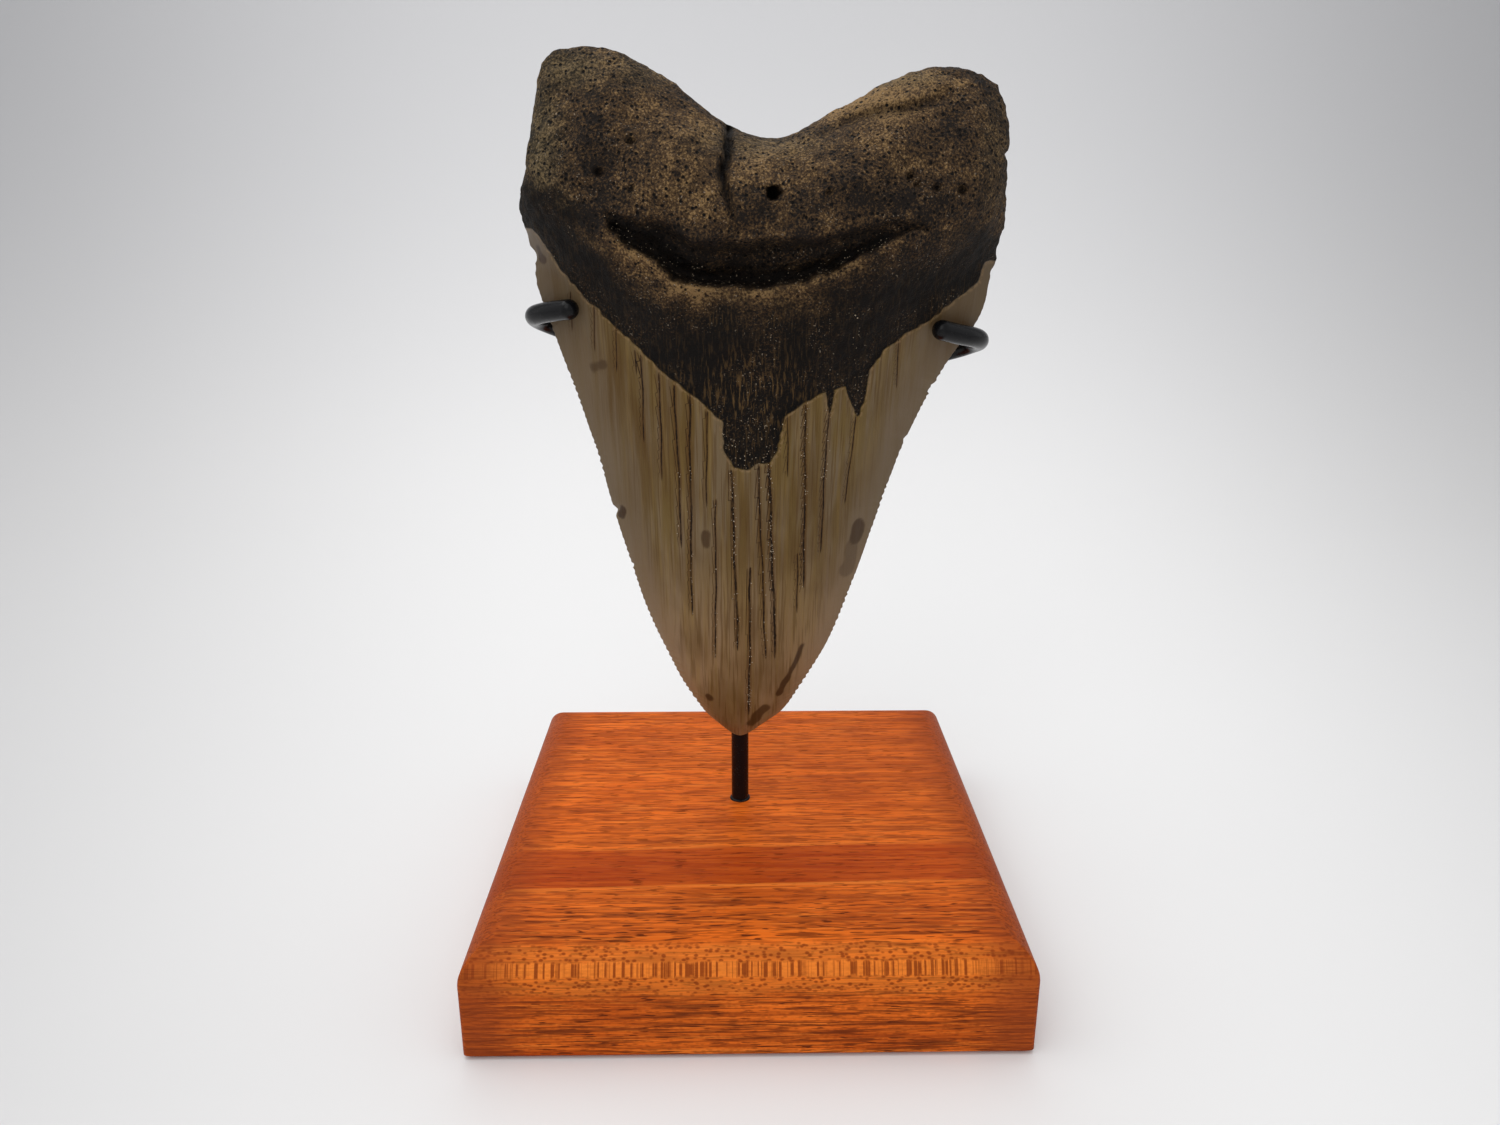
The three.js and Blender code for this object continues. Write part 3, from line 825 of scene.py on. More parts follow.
hollow, lip, hollow_floor, hollow_roof = hollow_dent(sheet_x, sheet_z)
cleft, right_of_cleft = cleft_dent(sheet_x, sheet_z)
crease, above_crease = crease_dent(sheet_x, sheet_z)
holes = round_dents(sheet_x, sheet_z)
lumps = np.sin(sheet_x / LUMP_LENGTH_ACROSS + 0.6) * np.sin(sheet_z / LUMP_LENGTH_UP)
lumps += 0.6 * np.sin(1.8 * sheet_x / LUMP_LENGTH_ACROSS - 1.7 * sheet_z / LUMP_LENGTH_UP)
dents = HOLLOW_DEPTH * hollow - 0.35 * lip + CLEFT_DEPTH * cleft + 0.8 * right_of_cleft
dents += CREASE_DEPTH * crease - 0.45 * above_crease + holes
print("dents go down to", round(dents.max(), 1), "mm")

# %% [markdown]
# ## Cracks in the enamel
# As the fossil dried, the enamel split along the crown's length into about twenty long cracks, and
# sand settled in some of them. A crack is thinner than the mesh's columns. So each point stores how
# far it is to one side of the nearest crack and how strong that crack is, and the finish draws a
# thin line where that distance is nought. Each row gives a crack's top and bottom, its half width,
# and how much sand lies in its upper and lower half.

# %% Distance to the cracks
CRACKS = [
    (-22.4, 78, -22.8, 69, 0.09, 0, 0), (-18.9, 75, -19.3, 66, 0.1, 0, 0),
    (-16.2, 71.5, -15.9, 66, 0.1, 0, 0), (-15.1, 70.8, -15.3, 55, 0.12, 0, 0),
    (-12.3, 68, -12.5, 49, 0.13, 0.1, 0), (-10, 66.3, -9.5, 37.5, 0.15, 0, 0.1),
    (-7.6, 65, -8.2, 25, 0.17, 0.1, 0.25), (-5, 62.6, -5.3, 45, 0.1, 0, 0),
    (-3.8, 48, -4.2, 17, 0.13, 0.1, 0.35), (-1.3, 53, -0.3, 19, 0.2, 0.9, 0.3),
    (1.7, 36, 1.6, 5, 0.18, 0.1, 0.7), (2.9, 54, 4.5, 17, 0.14, 0.1, 0.15),
    (4.6, 54, 6.2, 17, 0.22, 1, 0.15), (7.3, 62, 7.8, 50, 0.08, 0, 0),
    (9.5, 38, 9.8, 25, 0.1, 0, 0), (10.2, 63.5, 10.8, 30, 0.17, 0.6, 0.2),
    (13.9, 63, 13.5, 36, 0.14, 0.6, 0), (18.6, 61, 17.4, 44, 0.1, 0, 0),
    (24.7, 73, 25.3, 63, 0.08, 0, 0), (-26.2, 80, -26.6, 72, 0.08, 0, 0),
]
CRACK_REACH = 0.55
CRACK_FADE = 3
CRACK_DEPTH = 0.16
CRACK_WANDER = 0.07
BACK_CRACK_COUNT = 13


def crack_lines(cracks, x, z):
    """Signed distance to the nearest crack, its half width where it counts, and the sand that lies in it."""
    offset = np.full(x.shape, 9.0)
    width = np.zeros(x.shape)
    sand = np.zeros(x.shape)
    for k, (top_x, top_z, low_x, low_z, half_width, top_sand, low_sand) in enumerate(cracks):
        share = (top_z - z) / (top_z - low_z)
        wander = CRACK_WANDER * (np.sin(z / 3.1 + 2 * k) + 0.6 * np.sin(z / 1.3 + 5 * k))
        gap = x - (top_x + (low_x - top_x) * share + wander)
        present = smooth(z, low_z, low_z + CRACK_FADE) * smooth(z, top_z, top_z - 1)
        closer = (np.abs(gap) < CRACK_REACH) & (np.abs(gap) < np.abs(offset)) & (present > 0)
        offset = np.where(closer, gap, offset)
        width = np.where(closer, half_width * present, width)
        sand = np.where(closer, present * np.where(share < 0.5, top_sand, low_sand), sand)
    return np.clip(offset, -CRACK_REACH, CRACK_REACH), width, sand


draw = np.random.default_rng(7)
back_cracks = []
for crack_x in np.linspace(-17, 22, BACK_CRACK_COUNT) + draw.uniform(-1, 1, BACK_CRACK_COUNT):
    crack_top = 73 - 0.35 * abs(crack_x - 3) + draw.uniform(-6, 3)
    crack_low = crack_top - draw.uniform(14, 34)
    lean = 0.5 * (crack_x - 2) / crack_top
    crack_foot = crack_x - lean * (crack_top - crack_low)
    back_cracks.append((crack_x, crack_top, crack_foot, crack_low, draw.uniform(0.07, 0.13), 0, 0))
front_crack, front_crack_width, crack_sand = crack_lines(CRACKS, sheet_x, sheet_z)
back_crack, back_crack_width, _ = crack_lines(back_cracks, sheet_x, sheet_z)
print(len(CRACKS), "cracks on the tongue side,", len(back_cracks), "on the lip side")

# %% [markdown]
# ## Saw edge and chips
# A shark of this kind cuts with saw teeth about a millimetre apart, all along both edges of the
# crown. They are worn here and some are gone. The outline moves inwards by an uneven wave along
# each edge, and the points beside it follow less and less. A few chips and nicks of the root's
# outline are made in the same way.

# %% Move the outline
SAW_PITCH = 1.15
SAW_DEPTH = 0.3
SAW_REACH = 1.6
CHIPS = [
    # side of the tooth, height, half height, depth
    (1, 99.2, 0.7, 0.55), (1, 86.6, 2.2, 0.6), (1, 82.2, 0.8, 0.3), (-1, 84.8, 1.3, 0.6),
    (-1, 81.2, 0.8, 0.25), (-1, 42.9, 0.8, 0.6), (-1, 96.2, 0.8, 0.3), (1, 63.5, 0.9, 0.35),
    (1, 55, 0.7, 0.3), (-1, 33, 0.6, 0.25),
]


def edge_moves(points, side):
    """How far each row's edge point moves in, in millimetres."""
    edge = spline(points, up)
    steps = np.linalg.norm(np.diff(edge, axis=0), axis=1)
    gone = np.concatenate([[0], np.cumsum(steps)])
    height = edge[:, 1]
    uneven = np.array([noise.noise((g / 2.7, side * 4.0, 0.5)) for g in gone])
    phase = 2 * math.pi * gone / SAW_PITCH + 2.5 * uneven
    worn = np.clip(0.55 + 0.9 * np.array([noise.noise((g / 6, side * 9.0, 3.5)) for g in gone]), 0.1, 1)
    crown = smooth(height, 4, 8) * smooth(height, 81, 76)
    moves = SAW_DEPTH * worn * crown * (0.5 + 0.5 * np.cos(phase))
    rough = np.array([noise.noise((g / 1.9, side * 2.0, 8.5)) for g in gone])
    moves += (1 - crown) * smooth(height, 70, 90) * 0.22 * (rough + 0.5)
    for chip_side, chip_height, half_height, depth in CHIPS:
        if chip_side == side:
            moves += depth * np.clip(1 - ((height - chip_height) / half_height) ** 2, 0, 1)
    return moves


width_here = sheet_x[:, -1:] - sheet_x[:, :1]
from_left = across[None, :] * width_here
from_right = width_here - from_left
moved_x = sheet_x + edge_moves(LEFT_EDGE, -1)[:, None] * np.exp(-from_left / SAW_REACH)
moved_x -= edge_moves(RIGHT_EDGE, 1)[:, None] * np.exp(-from_right / SAW_REACH)
print("saw edge of", round(spline(LEFT_EDGE, [0, 1])[1, 1] / SAW_PITCH), "teeth a side")

# %% [markdown]
# ## One closed mesh
# The tongue side is seen close up, so it takes every row and column. The lip side is plainer and
# takes every second one. Both share the points of the rim, and the coarse faces along it have the
# fine rim points as extra corners, so the skin is closed. Fine roughness comes last: each point
# moves along its own normal.

# %% Build the tooth's mesh
FRONT_SKIN = ENAMEL_THICKNESS * smooth(front_gap, STEP_WIDTH / 2, -STEP_WIDTH / 2) - ENAMEL_THICKNESS
BACK_SKIN = ENAMEL_THICKNESS * smooth(back_gap, STEP_WIDTH / 2, -STEP_WIDTH / 2) - ENAMEL_THICKNESS
crack_cut = CRACK_DEPTH * np.clip(front_crack_width / 0.2, 0, 1.2) * bell(front_crack, 0.24) * (front_gap < 0)
root_lumps = root_share * LUMP_HEIGHT * lumps
front_depth = edge_depth + (crest_depth + FRONT_SKIN + root_lumps - edge_depth) * fullness
front_depth -= (dents + crack_cut) * np.minimum(1, 3 * fullness)
back_depth = edge_depth - (edge_depth + BACK_SKIN) * fullness


def fossil_mesh():
    """The tongue side's points, then the inner points of the lip side, with faces that close the skin."""
    wide = COLUMNS + 1
    front = np.stack([moved_x, -front_depth, sheet_z], -1).reshape(-1, 3)
    back = np.stack([moved_x, -back_depth, sheet_z], -1)[2:-2:2, 2:-2:2]
    index = np.arange(wide * (ROWS + 1)).reshape(ROWS + 1, wide)
    corners = (index[:-1, :-1], index[:-1, 1:], index[1:, 1:], index[1:, :-1])
    faces = np.stack([corner.ravel() for corner in corners], -1).tolist()
    lip_index = index.copy()
    inner = np.arange(back.shape[0] * back.shape[1]).reshape(back.shape[:2]) + index.size
    lip_index[2:-2:2, 2:-2:2] = inner
    for row in range(0, ROWS, 2):
        for column in range(0, COLUMNS, 2):
            cell = [(row, column), (row + 2, column), (row + 2, column + 2), (row, column + 2)]
            face = []
            for (r, c), (next_r, next_c) in zip(cell, cell[1:] + cell[:1]):
                face.append(int(lip_index[r, c]))
                on_side = c == next_c and c in (0, COLUMNS)
                on_end = r == next_r and r in (0, ROWS)
                if on_side or on_end:
                    face.append(int(index[(r + next_r) // 2, (c + next_c) // 2]))
            faces.append(face)
    points = np.vstack([front, back.reshape(-1, 3)]) + TOOTH_PLACE
    mesh = bpy.data.meshes.new("fossil_tooth")
    mesh.from_pydata(points * MM, [], faces)
    return mesh, inner.size


tooth_mesh, lip_points = fossil_mesh()


def both_sides(front, back):
    """A number for every point of the mesh, from its values on the two sheets."""
    return np.concatenate([front.ravel(), np.broadcast_to(back, front.shape)[2:-2:2, 2:-2:2].ravel()])


print("tooth of", len(tooth_mesh.vertices), "points,", lip_points, "of them on the lip side alone")

# %% Roughen the skin
ROOT_ROUGHNESS = ((4.6, 0.26), (1.7, 0.2), (0.85, 0.15))
ENAMEL_FLUTING = 0.07
TOOTH_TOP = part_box("tooth")[1][2] / MM


def fine_noise(places, length, seed):
    return np.array([noise.noise(place) for place in places / length + seed])


points = np.empty(len(tooth_mesh.vertices) * 3, np.float32)
tooth_mesh.vertices.foreach_get("co", points)
points = points.reshape(-1, 3) / MM
normals = np.empty(points.size, np.float32)
tooth_mesh.vertex_normals.foreach_get("vector", normals)
normals = normals.reshape(-1, 3)
root_gap = both_sides(front_gap, back_gap)
on_root = smooth(root_gap, 0, 0.6)
push = sum(height * fine_noise(points, length, k * 7.3) for k, (length, height) in enumerate(ROOT_ROUGHNESS))
flutes = fine_noise(points * (1, 0.2, 0.06), 1.3, 31.0)
inside = np.minimum(1, 4 * both_sides(fullness, fullness))
push = on_root * push + (1 - on_root) * ENAMEL_FLUTING * flutes * inside
points += normals * push[:, None]
points[:, 2] = np.minimum(points[:, 2], TOOTH_TOP)
tooth_mesh.vertices.foreach_set("co", (points * MM).ravel())
tooth_mesh.update()
print("roughened by up to", round(float(np.abs(push).max()), 2), "mm")

# %% [markdown]
# ## What the finish needs to know
# The fossil's colours follow its history: olive and tan where the root is worn, near black along
# the bourlette beside the enamel, stains and spots on the crown. Painting these on an image would
# tie them to one view. So soft patches, each with its own place on the sheet, are stored as numbers
# at the mesh's points, and the finish mixes its colours by them. Painted shade in the hollow and the
# other dents, and a painted highlight on the hollow's lip, are stored in the same way. Each patch
# gives its middle, its half width, its half height and its strength.

# %% Patches of colour
TAN_PATCHES = [
    (-7, 99, 5, 8, 0.5), (-12, 96, 5, 5, 0.25), (4, 97.5, 9, 4, 0.3), (18, 106, 9, 3.2, 1.4),
    (26, 108.5, 6, 2.4, 1.05), (19, 100.5, 8, 3.4, 0.25), (4, 79.2, 8, 1.4, 0.7), (10, 78, 4, 2.2, 0.6),
    (-8, 80.4, 4, 1.6, 0.6), (17, 83.6, 5, 1.2, 0.6), (-18, 86.5, 5, 3, 0.4), (-13, 83, 3, 2, 0.5),
    (32, 85.5, 5, 3, 0.3), (-20, 110.5, 6, 2.5, 0.4), (33, 98, 4, 5, 0.2), (13, 89.8, 5, 1.2, 0.5),
]
OLIVE_PATCHES = [
    (-29, 101, 4, 12, 1), (-25, 111, 7, 3.5, 0.9), (-14, 111, 6, 3, 0.6), (-28, 92, 4, 4, 0.9),
    (3, 101, 9, 2.5, 0.6), (22, 110, 7, 1.5, 0.7), (38, 100, 3, 10, 0.4),
]
DARK_PATCHES = [
    (-21, 98, 6, 7, 0.5), (-20, 91.5, 5, 3, 0.6), (7, 91, 7, 3, 0.5), (33, 104, 6, 6, 0.3),
    (26, 92.5, 9, 3, 0.6), (24, 85, 9, 4, 0.6), (-3, 76, 7, 2.5, 0.5), (22, 79, 10, 5, 0.7),
    (14, 72, 7, 6, 0.8), (-27, 88, 3, 3, 0.8),
]
STAINS = [
    # two ends, half width and strength
    (20.3, 40.7, 19.8, 38.2, 1.25, 0.6), (19.3, 36.8, 18.5, 32.6, 1.4, 0.35),
    (10.9, 19.4, 9.4, 15, 0.5, 0.7), (9.4, 15, 7, 10, 0.55, 0.75), (4.3, 7.1, 2, 3.7, 1.0, 0.6),
    (-5.7, 9.4, -5.5, 9.2, 0.8, 0.7), (-5.5, 41.4, -5.5, 39.4, 0.7, 0.55),
    (-19.9, 43.2, -20.2, 42.4, 0.7, 0.9), (-23.2, 67.6, -21.6, 68.4, 0.9, 0.45),
    (-31.6, 85.6, -30.9, 84.4, 0.8, 0.9),
]
BROWN_PATCHES = [
    (-20, 64, 2.6, 8, 0.8), (-16.5, 55, 2.4, 12, 0.7), (-9, 60, 4, 9, 0.5), (1, 44, 6, 14, 0.5),
    (3.3, 16, 4, 6, 0.7), (-6.9, 20, 2.4, 4, 0.5), (12, 52, 3, 12, 0.35), (0, 7, 5, 5, 0.5),
    (-29.5, 80, 2, 6, 0.4), (34, 74, 4, 5, 0.5), (2, 65, 8.5, 6, 0.9), (2, 76.5, 9, 2, 0.3),
]


def patches(rows):
    whole = np.zeros(sheet_x.shape)
    for x, z, half_width, half_height, strength in rows:
        away = ((sheet_x - x) / half_width) ** 2 + ((sheet_z - z) / half_height) ** 2
        whole = np.maximum(whole, strength * np.exp(-away ** 1.3))
    return whole


def stains(rows):
    whole = np.zeros(sheet_x.shape)
    for x, z, end_x, end_z, half_width, strength in rows:
        gap = np.abs(nearest(np.array([(x, z), (end_x, end_z)]), sheet_x, sheet_z)[1])
        gap += 0.45 * speckle(sheet_x, sheet_z, 1.9, x)
        whole = np.maximum(whole, strength * smooth(gap, half_width + 0.25, half_width - 0.35))
    return whole


BOURLETTE = [(-31, 7), (-22, 8), (-14, 8), (-6, 11), (-2, 16), (7, 16), (13, 14), (20, 14), (30, 9), (39, 5)]
bourlette_x, bourlette_wide = np.array(BOURLETTE).T
bourlette_width = np.interp(sheet_x, bourlette_x, bourlette_wide)
bourlette_gap = front_gap + 1.6 * speckle(sheet_x, sheet_z, 2.6, 9.5)
bourlette = smooth(bourlette_gap, bourlette_width * 1.2, bourlette_width * 0.7)
# Painted shade in the hollow's floor, the cleft, the crease, the nutrient hole and the pits.
recess_shade = np.clip(hollow_floor + 1.7 * cleft + 0.6 * crease + holes / 1.2, 0, 1)
peeled = bell(sheet_x - 2, 5.5) * smooth(sheet_z, 61.5, 60) * (front_gap > 0)
sand = np.clip(crack_sand * bell(front_crack, 0.3) + 0.22 * peeled + 0.1 * hollow_floor, 0, 1)
drip = bell(nearest(np.array([(17.9, 77), (18.8, 61)]), sheet_x, sheet_z)[1], 0.7) * (front_gap > 0)
stored = {
    "root_gap": root_gap,
    "crack_side": both_sides(front_crack, back_crack),
    "crack_width": both_sides(front_crack_width, back_crack_width),
    "painted_recess_shade": both_sides(recess_shade, 0),
    "tan": both_sides(patches(TAN_PATCHES), 0.3),
    "olive": both_sides(patches(OLIVE_PATCHES), 0.35),
    # Darker patches of the root, with painted shade under the hollow's brow.
    "dark": both_sides(np.maximum(patches(DARK_PATCHES), 0.8 * hollow_roof), 0.2),
    "bourlette": both_sides(bourlette, smooth(back_gap, 5, 2)),
    "stain": both_sides(stains(STAINS), 0),
    "brown": both_sides(patches(BROWN_PATCHES), 0.25),
    "margin": both_sides(smooth(off_centre, 0.6, 0.92), smooth(off_centre, 0.6, 0.92)),
    # Painted highlight on the hollow's lower lip.
    "lip": both_sides(lip, 0),
    "sand": both_sides(np.clip(sand + 0.12 * drip, 0, 1), 0),
}
for name, values in stored.items():
    tooth_mesh.attributes.new(name, "FLOAT", "POINT").data.foreach_set("value", values.astype(np.float32))
print("stored", ", ".join(stored))

# %% [markdown]
# ## Fossil finish
# Enamel is satin and streaked along the crown. The root is dull, grainy and full of fine pores,
# with specks of pale mineral whose glints are painted into its colour. Both are one material,
# because the piece is one stone, and the stored distance to the border mixes them. Pores are
# Voronoi cells that are kept or dropped by their random colour, so they differ in size and number.

# %% Fossil finish
ENAMEL_GREY = (0.166, 0.118, 0.064)
ENAMEL_OLIVE = (0.145, 0.093, 0.027)
ENAMEL_YELLOW = (0.250, 0.160, 0.048)
ENAMEL_BROWN = (0.080, 0.038, 0.007)
ENAMEL_MARGIN = (0.150, 0.106, 0.064)
ENAMEL_PAINTED_SHADE = (0.058, 0.041, 0.025)
ENAMEL_SAND_AND_HIGHLIGHT = (0.300, 0.186, 0.092)
ENAMEL_STAIN = (0.040, 0.017, 0.004)
CRACK_BLACK = (0.010, 0.005, 0.002)
CRACK_RUST = (0.085, 0.034, 0.007)
ROOT_BLACK = (0.0115, 0.0080, 0.0060)
ROOT_BROWN = (0.074, 0.042, 0.019)
ROOT_TAN = (0.275, 0.168, 0.070)
OLIVE_DARK = (0.022, 0.018, 0.010)
OLIVE_LIGHT = (0.155, 0.114, 0.058)
ROOT_GLINT = (0.45, 0.36, 0.26)
BOURLETTE_BLACK = (0.0050, 0.0036, 0.0028)
BOURLETTE_BROWN = (0.105, 0.060, 0.022)
DEEP_BLACK = (0.003, 0.002, 0.0015)
LOWER_CROWN = (80, 45)
UPPER_CROWN = (98, 120)


def enamel_colour(paper, place):
    streak = grain(place, (1.3, 6, 30), detail=3, shift=2).rises(0.36, 0.62)
    thread = grain(place, (0.34, 4, 14), detail=2, shift=4).rises(0.5, 0.64)
    cloud = grain(place, (6, 6, 12), detail=3, shift=6).rises(0.38, 0.66)
    margin = measured(paper, "margin")
    up = paper.node("ShaderNodeSeparateXYZ", {}, {0: place}, output="Z")
    tone = blend(streak, ENAMEL_GREY, ENAMEL_OLIVE)
    tone = blend(margin * 0.75, tone, ENAMEL_MARGIN)
    tone = blend(up.rises(*LOWER_CROWN) * 0.7, tone, ENAMEL_SAND_AND_HIGHLIGHT)
    # Painted shade: the enamel darkens towards the top of the crown.
    tone = blend(up.rises(*UPPER_CROWN) * 0.35, tone, ENAMEL_PAINTED_SHADE)
    pale = grain(place, (0.7, 5, 18), detail=2, shift=51).rises(0.5, 0.66)
    tone = blend(pale * (1 - margin) * 0.35, tone, ENAMEL_YELLOW)
    tone = blend(cloud * (1 - margin * 0.7) * 0.4, tone, ENAMEL_BROWN)
    tone = blend(measured(paper, "brown") * (streak * 0.5 + 0.4), tone, ENAMEL_BROWN)
    tone = blend(thread * (1 - margin * 0.85) * 0.5, tone, ENAMEL_BROWN)
    return blend(measured(paper, "stain").rises(0, 0.75) * 0.9, tone, ENAMEL_STAIN)


def root_colour(paper, place, speck, pore):
    mottle = grain(place, (1.7, 1.7, 1.7), detail=4, roughness=0.68, shift=14)
    cloud = grain(place, (6, 6, 6), detail=2, shift=9)
    olive = measured(paper, "olive")
    # One lightness takes in grain, mottling and patches, so that each patch has a ragged edge.
    light = mottle + speck * 2.4 - 0.4 + cloud * 0.9
    # Painted highlight: the hollow's lower lip is lighter.
    light = light + measured(paper, "tan") * 0.32 + measured(paper, "lip") * 0.3 + olive * 0.12
    # Darker patches, and painted shade under the hollow's brow.
    light = light - measured(paper, "dark") * 0.34
    tone = blend(light.rises(1.46, 1.9), ROOT_BLACK, ROOT_BROWN)
    tone = blend(light.rises(1.88, 2.34), tone, ROOT_TAN)
    tone = blend(olive * 0.8, tone, blend(light.rises(1.6, 2.2), OLIVE_DARK, OLIVE_LIGHT))
    thread = grain(place, (0.34, 2, 2.4), detail=3, roughness=0.6, shift=21).rises(0.5, 0.64)
    band = blend(thread * (measured(paper, "brown") + 0.14), BOURLETTE_BLACK, BOURLETTE_BROWN)
    band = blend(speck.rises(0.5, 0.68) * cloud.rises(0.35, 0.65) * 0.8, band, ROOT_BROWN)
    tone = blend(measured(paper, "bourlette"), tone, band)
    # Painted glints: pale specks where the grains would catch the light.
    glint = grain(place, (0.3, 0.3, 0.3), detail=1, shift=17)
    tone = blend(glint.rises(0.67, 0.76) * cloud.rises(0.4, 0.6) * 0.55, tone, ROOT_GLINT)
    tone = blend(pore, tone, DEEP_BLACK)
    # Painted shade: the hollow's floor and the other dents are blackened.
    return blend(measured(paper, "painted_recess_shade") * 0.95, tone, DEEP_BLACK)


def fossil_finish():
    material, paper = new_finish("fossil_stone")
    place = millimetres(paper)
    gap = measured(paper, "root_gap")
    root = gap.rises(-0.12, 0.12)
    speck = grain(place, (0.36, 0.36, 0.36), detail=3, roughness=0.7, shift=12)
    cells = paper.node("ShaderNodeTexVoronoi", {}, {"Vector": place, "Scale": 1 / 0.85})
    kept = paper.node("ShaderNodeSeparateColor", {}, {0: cells.sibling("Color")})
    pore = cells.rises(0.34, 0.2) * kept.rises(0.35, 0.45) * (1 - measured(paper, "bourlette")) * root
    # A crack is a dark line where the stored distance is less than its half width, rusty beside it.
    crack_width = measured(paper, "crack_width")
    crack_gap = abs(measured(paper, "crack_side"))
    beaded = grain(place, (0.4, 2, 0.6), detail=2, shift=27)
    faint = grain(place, (2, 4, 2.6), detail=1, shift=45).rises(0.36, 0.56) * 0.35 + 0.65
    line = (crack_gap - crack_width * (beaded * 1.6)).rises(0.04, -0.04) * crack_width.rises(0.02, 0.06)
    rust = (crack_gap - crack_width * 1.5).rises(0.3, -0.1) * crack_width.rises(0.01, 0.08)
    enamel = blend(rust * 0.5, enamel_colour(paper, place), CRACK_RUST)
    enamel = blend(line * faint * 0.95, enamel, CRACK_BLACK)
    # Painted highlight: a pale line on the enamel just below its border with the root.
    painted_edge_highlight = gap.rises(-0.7, -0.25) * gap.rises(-0.05, -0.2)
    enamel = blend(painted_edge_highlight * beaded.rises(0.4, 0.6) * 0.4, enamel, ENAMEL_SAND_AND_HIGHLIGHT)
    tone = blend(root, enamel, root_colour(paper, place, speck, pore))
    satin = grain(place, (3, 3, 8), detail=2, shift=33) * 0.14 + 0.38 + line * 0.3
    dull = speck * 0.25 + 0.6 - measured(paper, "painted_recess_shade") * 0.25
    grit = speck * 1.3 - pore * 1.5
    skin = grain(place, (0.25, 1, 3), detail=2, shift=37) * 0.12 - line * 0.5
    close_finish(paper, {
        "Base Color": tone,
        "Roughness": satin * (1 - root) + dull * root,
        "Specular IOR Level": 0.14,
        "Normal": raised(grit * root + skin * (1 - root), 0.85, 0.4),
    })
    return material


fossil_stone = fossil_finish()
fossil_tooth = show("fossil_tooth", tooth_mesh, fossil_stone)
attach(fossil_tooth, "root")
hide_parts("tooth")

# %% [markdown]
# ## Sand in the cracks
# The pale glints along the widest cracks and in the peeled patch are grains of quartz sand. There
# are hundreds, all alike, lying on a surface: a job for Geometry Nodes. Points are scattered where
# the stored number says that sand lies, and each carries a small faceted ball, turned and sized by
# chance with a fixed seed.

# %% Scatter the grains
GRAINS_PER_SQUARE_MM = 8
GRAIN_RADIUS = 0.08
SMALLEST_GRAIN = 0.5
LARGEST_GRAIN = 1.35
GRAIN_SEED = 5
QUARTZ_PALE = (0.52, 0.42, 0.29)
QUARTZ_DARK = (0.12, 0.08, 0.045)


def grain_finish():
    material, paper = new_finish("quartz_sand")
    place = millimetres(paper)
    mixed = grain(place, (0.35, 0.35, 0.35), detail=1, shift=3).rises(0.42, 0.6)
    close_finish(paper, {
        "Base Color": blend(mixed, QUARTZ_DARK, QUARTZ_PALE),
        "Roughness": 0.25 + mixed * 0.15,
        "Specular IOR Level": 0.6,
    })
    return material


def sand_tree():
    tree = bpy.data.node_groups.new("grains_on_skin", "GeometryNodeTree")
    face = tree.interface
    face.new_socket("Skin", in_out="INPUT", socket_type="NodeSocketGeometry")
    kinds = {"Density": "Float", "Grain radius": "Float", "Seed": "Int", "Sand": "Material"}
    for name, kind in kinds.items():
        face.new_socket(name, in_out="INPUT", socket_type="NodeSocket" + kind)
    face.new_socket("Grains", in_out="OUTPUT", socket_type="NodeSocketGeometry")
    paper = Socket(tree)
    skin = paper.node("NodeGroupInput")
    seed = skin.sibling("Seed")
    amount = paper.node("GeometryNodeInputNamedAttribute", {"data_type": "FLOAT"}, {"Name": "sand"})
    scatter = {"Mesh": skin, "Density": amount * skin.sibling("Density"), "Seed": seed}
    points = paper.node("GeometryNodeDistributePointsOnFaces", {"distribute_method": "RANDOM"}, scatter)
    ball_size = {"Radius": skin.sibling("Grain radius"), "Subdivisions": 1}
    ball = paper.node("GeometryNodeMeshIcoSphere", {}, ball_size)
    sizes = {2: SMALLEST_GRAIN, 3: LARGEST_GRAIN, "Seed": seed}
    size = paper.node("FunctionNodeRandomValue", {"data_type": "FLOAT"}, sizes, output=1)
    turns = {1: (2 * math.pi,) * 3, "Seed": seed + 1}
    turn = paper.node("FunctionNodeRandomValue", {"data_type": "FLOAT_VECTOR"}, turns)
    turn = paper.node("FunctionNodeEulerToRotation", {}, {0: turn})
    lay = {"Points": points, "Instance": ball, "Rotation": turn, "Scale": size}
    grains = paper.node("GeometryNodeInstanceOnPoints", {}, lay)
    grains = paper.node("GeometryNodeRealizeInstances", {}, {0: grains})
    grains = paper.node("GeometryNodeSetMaterial", {}, {"Geometry": grains, "Material": skin.sibling("Sand")})
    paper.node("NodeGroupOutput", {}, {0: grains})
    return tree


quartz_sand = grain_finish()
sand_inputs = {
    "Density": GRAINS_PER_SQUARE_MM / MM ** 2,
    "Grain radius": GRAIN_RADIUS * MM,
    "Seed": GRAIN_SEED,
    "Sand": quartz_sand,
}
sand_mesh = through_nodes("sand_grains", tooth_mesh, sand_tree(), sand_inputs)
sand_grains = show("sand_grains", sand_mesh, quartz_sand)
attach(sand_grains, "root")

# %% [markdown]
# ## Floor and light
# The object stands on a pale sheet that curves up behind it, so that no horizon shows. One broad
# soft light hangs overhead and a little to the left, and a weaker one fills from the front. The top
# of the block is then brighter than its front, and the crown, which leans forward at the top, is
# darker than the floor behind it. The sheet's colour greys towards its back and its sides: painted
# shade where the light falls off.

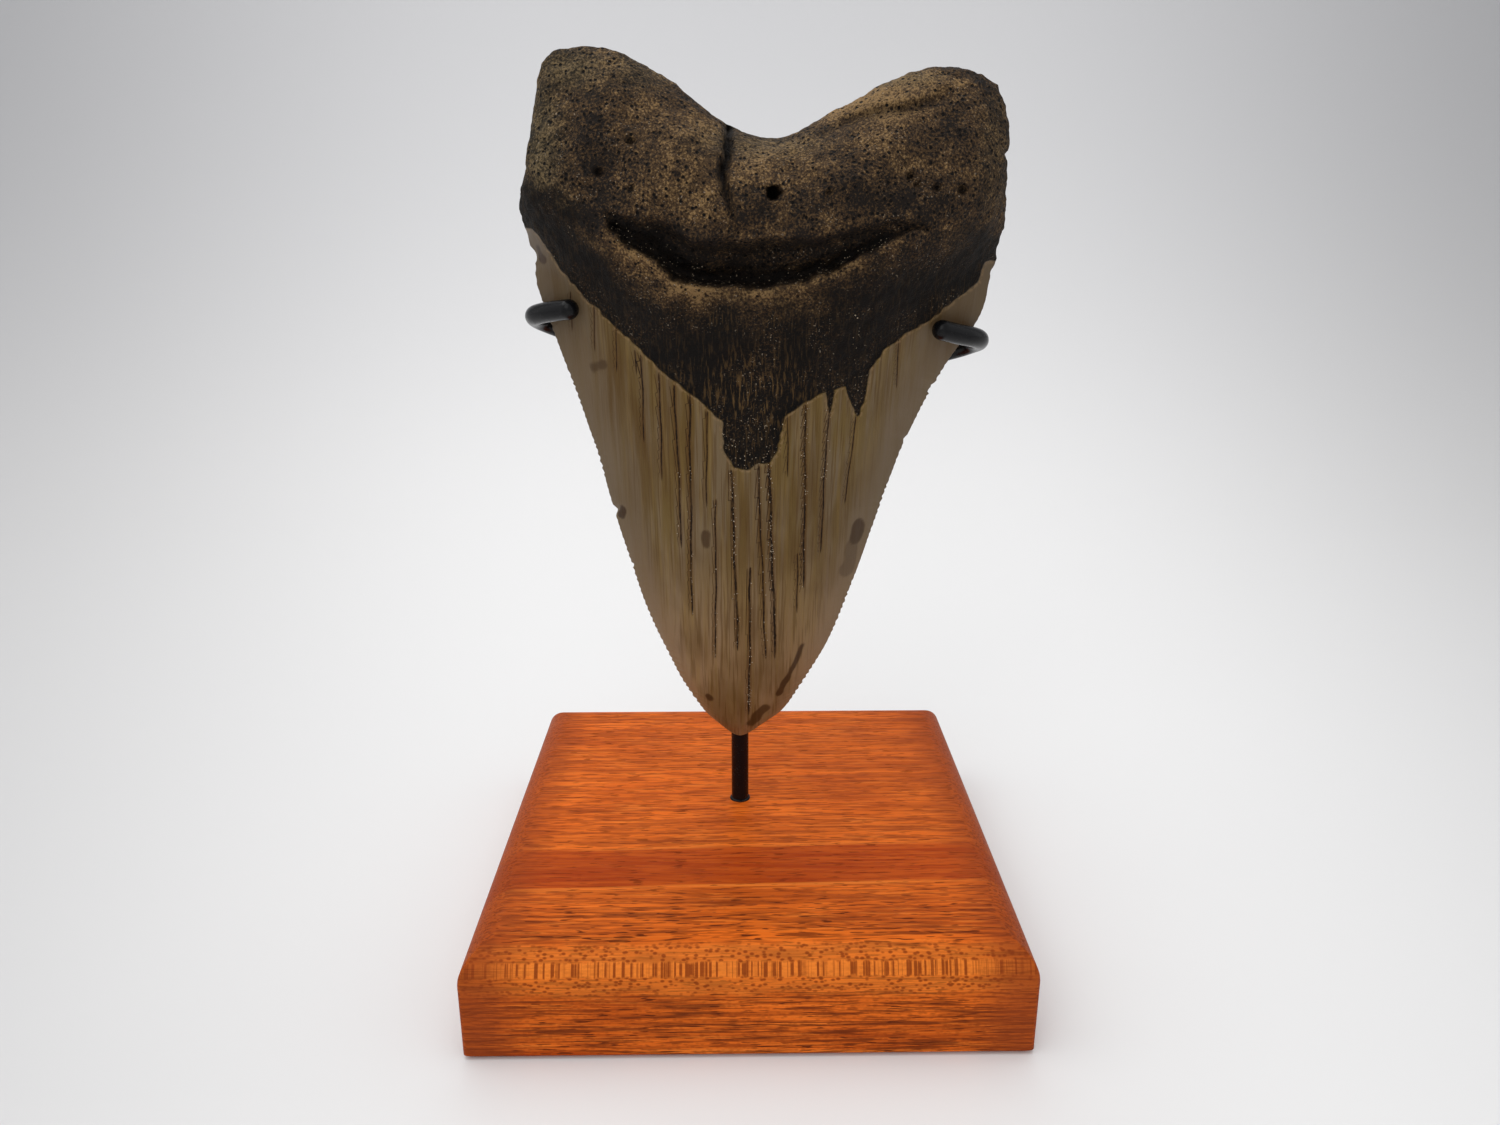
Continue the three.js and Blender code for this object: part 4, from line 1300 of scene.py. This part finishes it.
# %% Pale floor that curves up
FLOOR_HALF_WIDTH = 1.6
FLOOR_FRONT = -1.2
FLOOR_BACK = 0.26
SWEEP_RADIUS = 0.45
SWEEP_STEPS = 24
WALL_HEIGHT = 1.6
FLOOR_PALE = (0.82, 0.815, 0.81)
PAINTED_WALL_SHADE = (0.54, 0.54, 0.55)
PAINTED_SIDE_SHADE = (0.02, 0.02, 0.03)
WALL_SHADE = (230, 800)
SIDE_SHADE = (0.12, 0.62)
SIDE_MIDDLE = 28
SIDE_APEX = -400
SIDE_DEPTH = 0.34
SIDE_NEAREST = 350


def floor_sweep():
    profile = [(FLOOR_FRONT, 0), (FLOOR_BACK, 0)]
    for step in range(1, SWEEP_STEPS + 1):
        turn = step / SWEEP_STEPS * math.pi / 2
        profile.append((FLOOR_BACK + SWEEP_RADIUS * math.sin(turn), SWEEP_RADIUS * (1 - math.cos(turn))))
    profile.append((profile[-1][0], WALL_HEIGHT))
    points = [(side * FLOOR_HALF_WIDTH, y, z) for y, z in profile for side in (-1, 1)]
    faces = [(2 * k, 2 * k + 1, 2 * k + 3, 2 * k + 2) for k in range(len(profile) - 1)]
    mesh = bpy.data.meshes.new("pale_floor")
    mesh.from_pydata(points, [], faces)
    return mesh


def floor_finish():
    material, paper = new_finish("pale_paper")
    place = paper.node("ShaderNodeSeparateXYZ", {}, {0: millimetres(paper)})
    back = place.sibling("Y")
    # Painted shade: the sheet greys towards its back.
    tone = blend(back.rises(*WALL_SHADE), FLOOR_PALE, PAINTED_WALL_SHADE)
    aside = abs(place - SIDE_MIDDLE) / (back - SIDE_APEX).most(SIDE_NEAREST)
    # Painted shade: the sheet greys towards its sides.
    tone = blend(aside.rises(*SIDE_SHADE) * SIDE_DEPTH, tone, PAINTED_SIDE_SHADE)
    close_finish(paper, {"Base Color": tone, "Roughness": 0.6, "Specular IOR Level": 0.2})
    return material


pale_floor = show("pale_floor", floor_sweep(), floor_finish())

# %% Soft light
OVERHEAD_PLACE = (-0.16, 0.14, 0.85)
OVERHEAD_AIM = (-0.02, 0.05, 0)
OVERHEAD_SIZE = (1.3, 1.1)
OVERHEAD_WATTS = 6
FRONT_PLACE = (-0.35, -0.9, 0.75)
FRONT_AIM = (0, 0, 0.08)
FRONT_SIZE = (0.7, 0.7)
FRONT_WATTS = 1.8
ROOM_COLOUR = (0.98, 0.985, 1, 1)
ROOM_STRENGTH = 0.67


def soft_light(name, place, aim, width, depth, power):
    light = bpy.data.lights.new(name, "AREA")
    light.shape = "RECTANGLE"
    light.size = width
    light.size_y = depth
    light.energy = power
    lamp = bpy.data.objects.new(name, light)
    lamp.location = place
    away = np.array(aim) - np.array(place)
    tilt = math.atan2(np.hypot(away[0], away[1]), -away[2])
    lamp.rotation_euler = (tilt, 0, math.atan2(away[1], away[0]) - math.pi / 2)
    bpy.context.scene.collection.objects.link(lamp)


soft_light("overhead_light", OVERHEAD_PLACE, OVERHEAD_AIM, *OVERHEAD_SIZE, OVERHEAD_WATTS)
soft_light("front_light", FRONT_PLACE, FRONT_AIM, *FRONT_SIZE, FRONT_WATTS)
sky = bpy.data.worlds.new("soft_room")
sky.use_nodes = True
sky.node_tree.nodes["Background"].inputs["Color"].default_value = ROOM_COLOUR
sky.node_tree.nodes["Background"].inputs["Strength"].default_value = ROOM_STRENGTH
bpy.context.scene.world = sky
bpy.context.scene.view_settings.view_transform = "Standard"
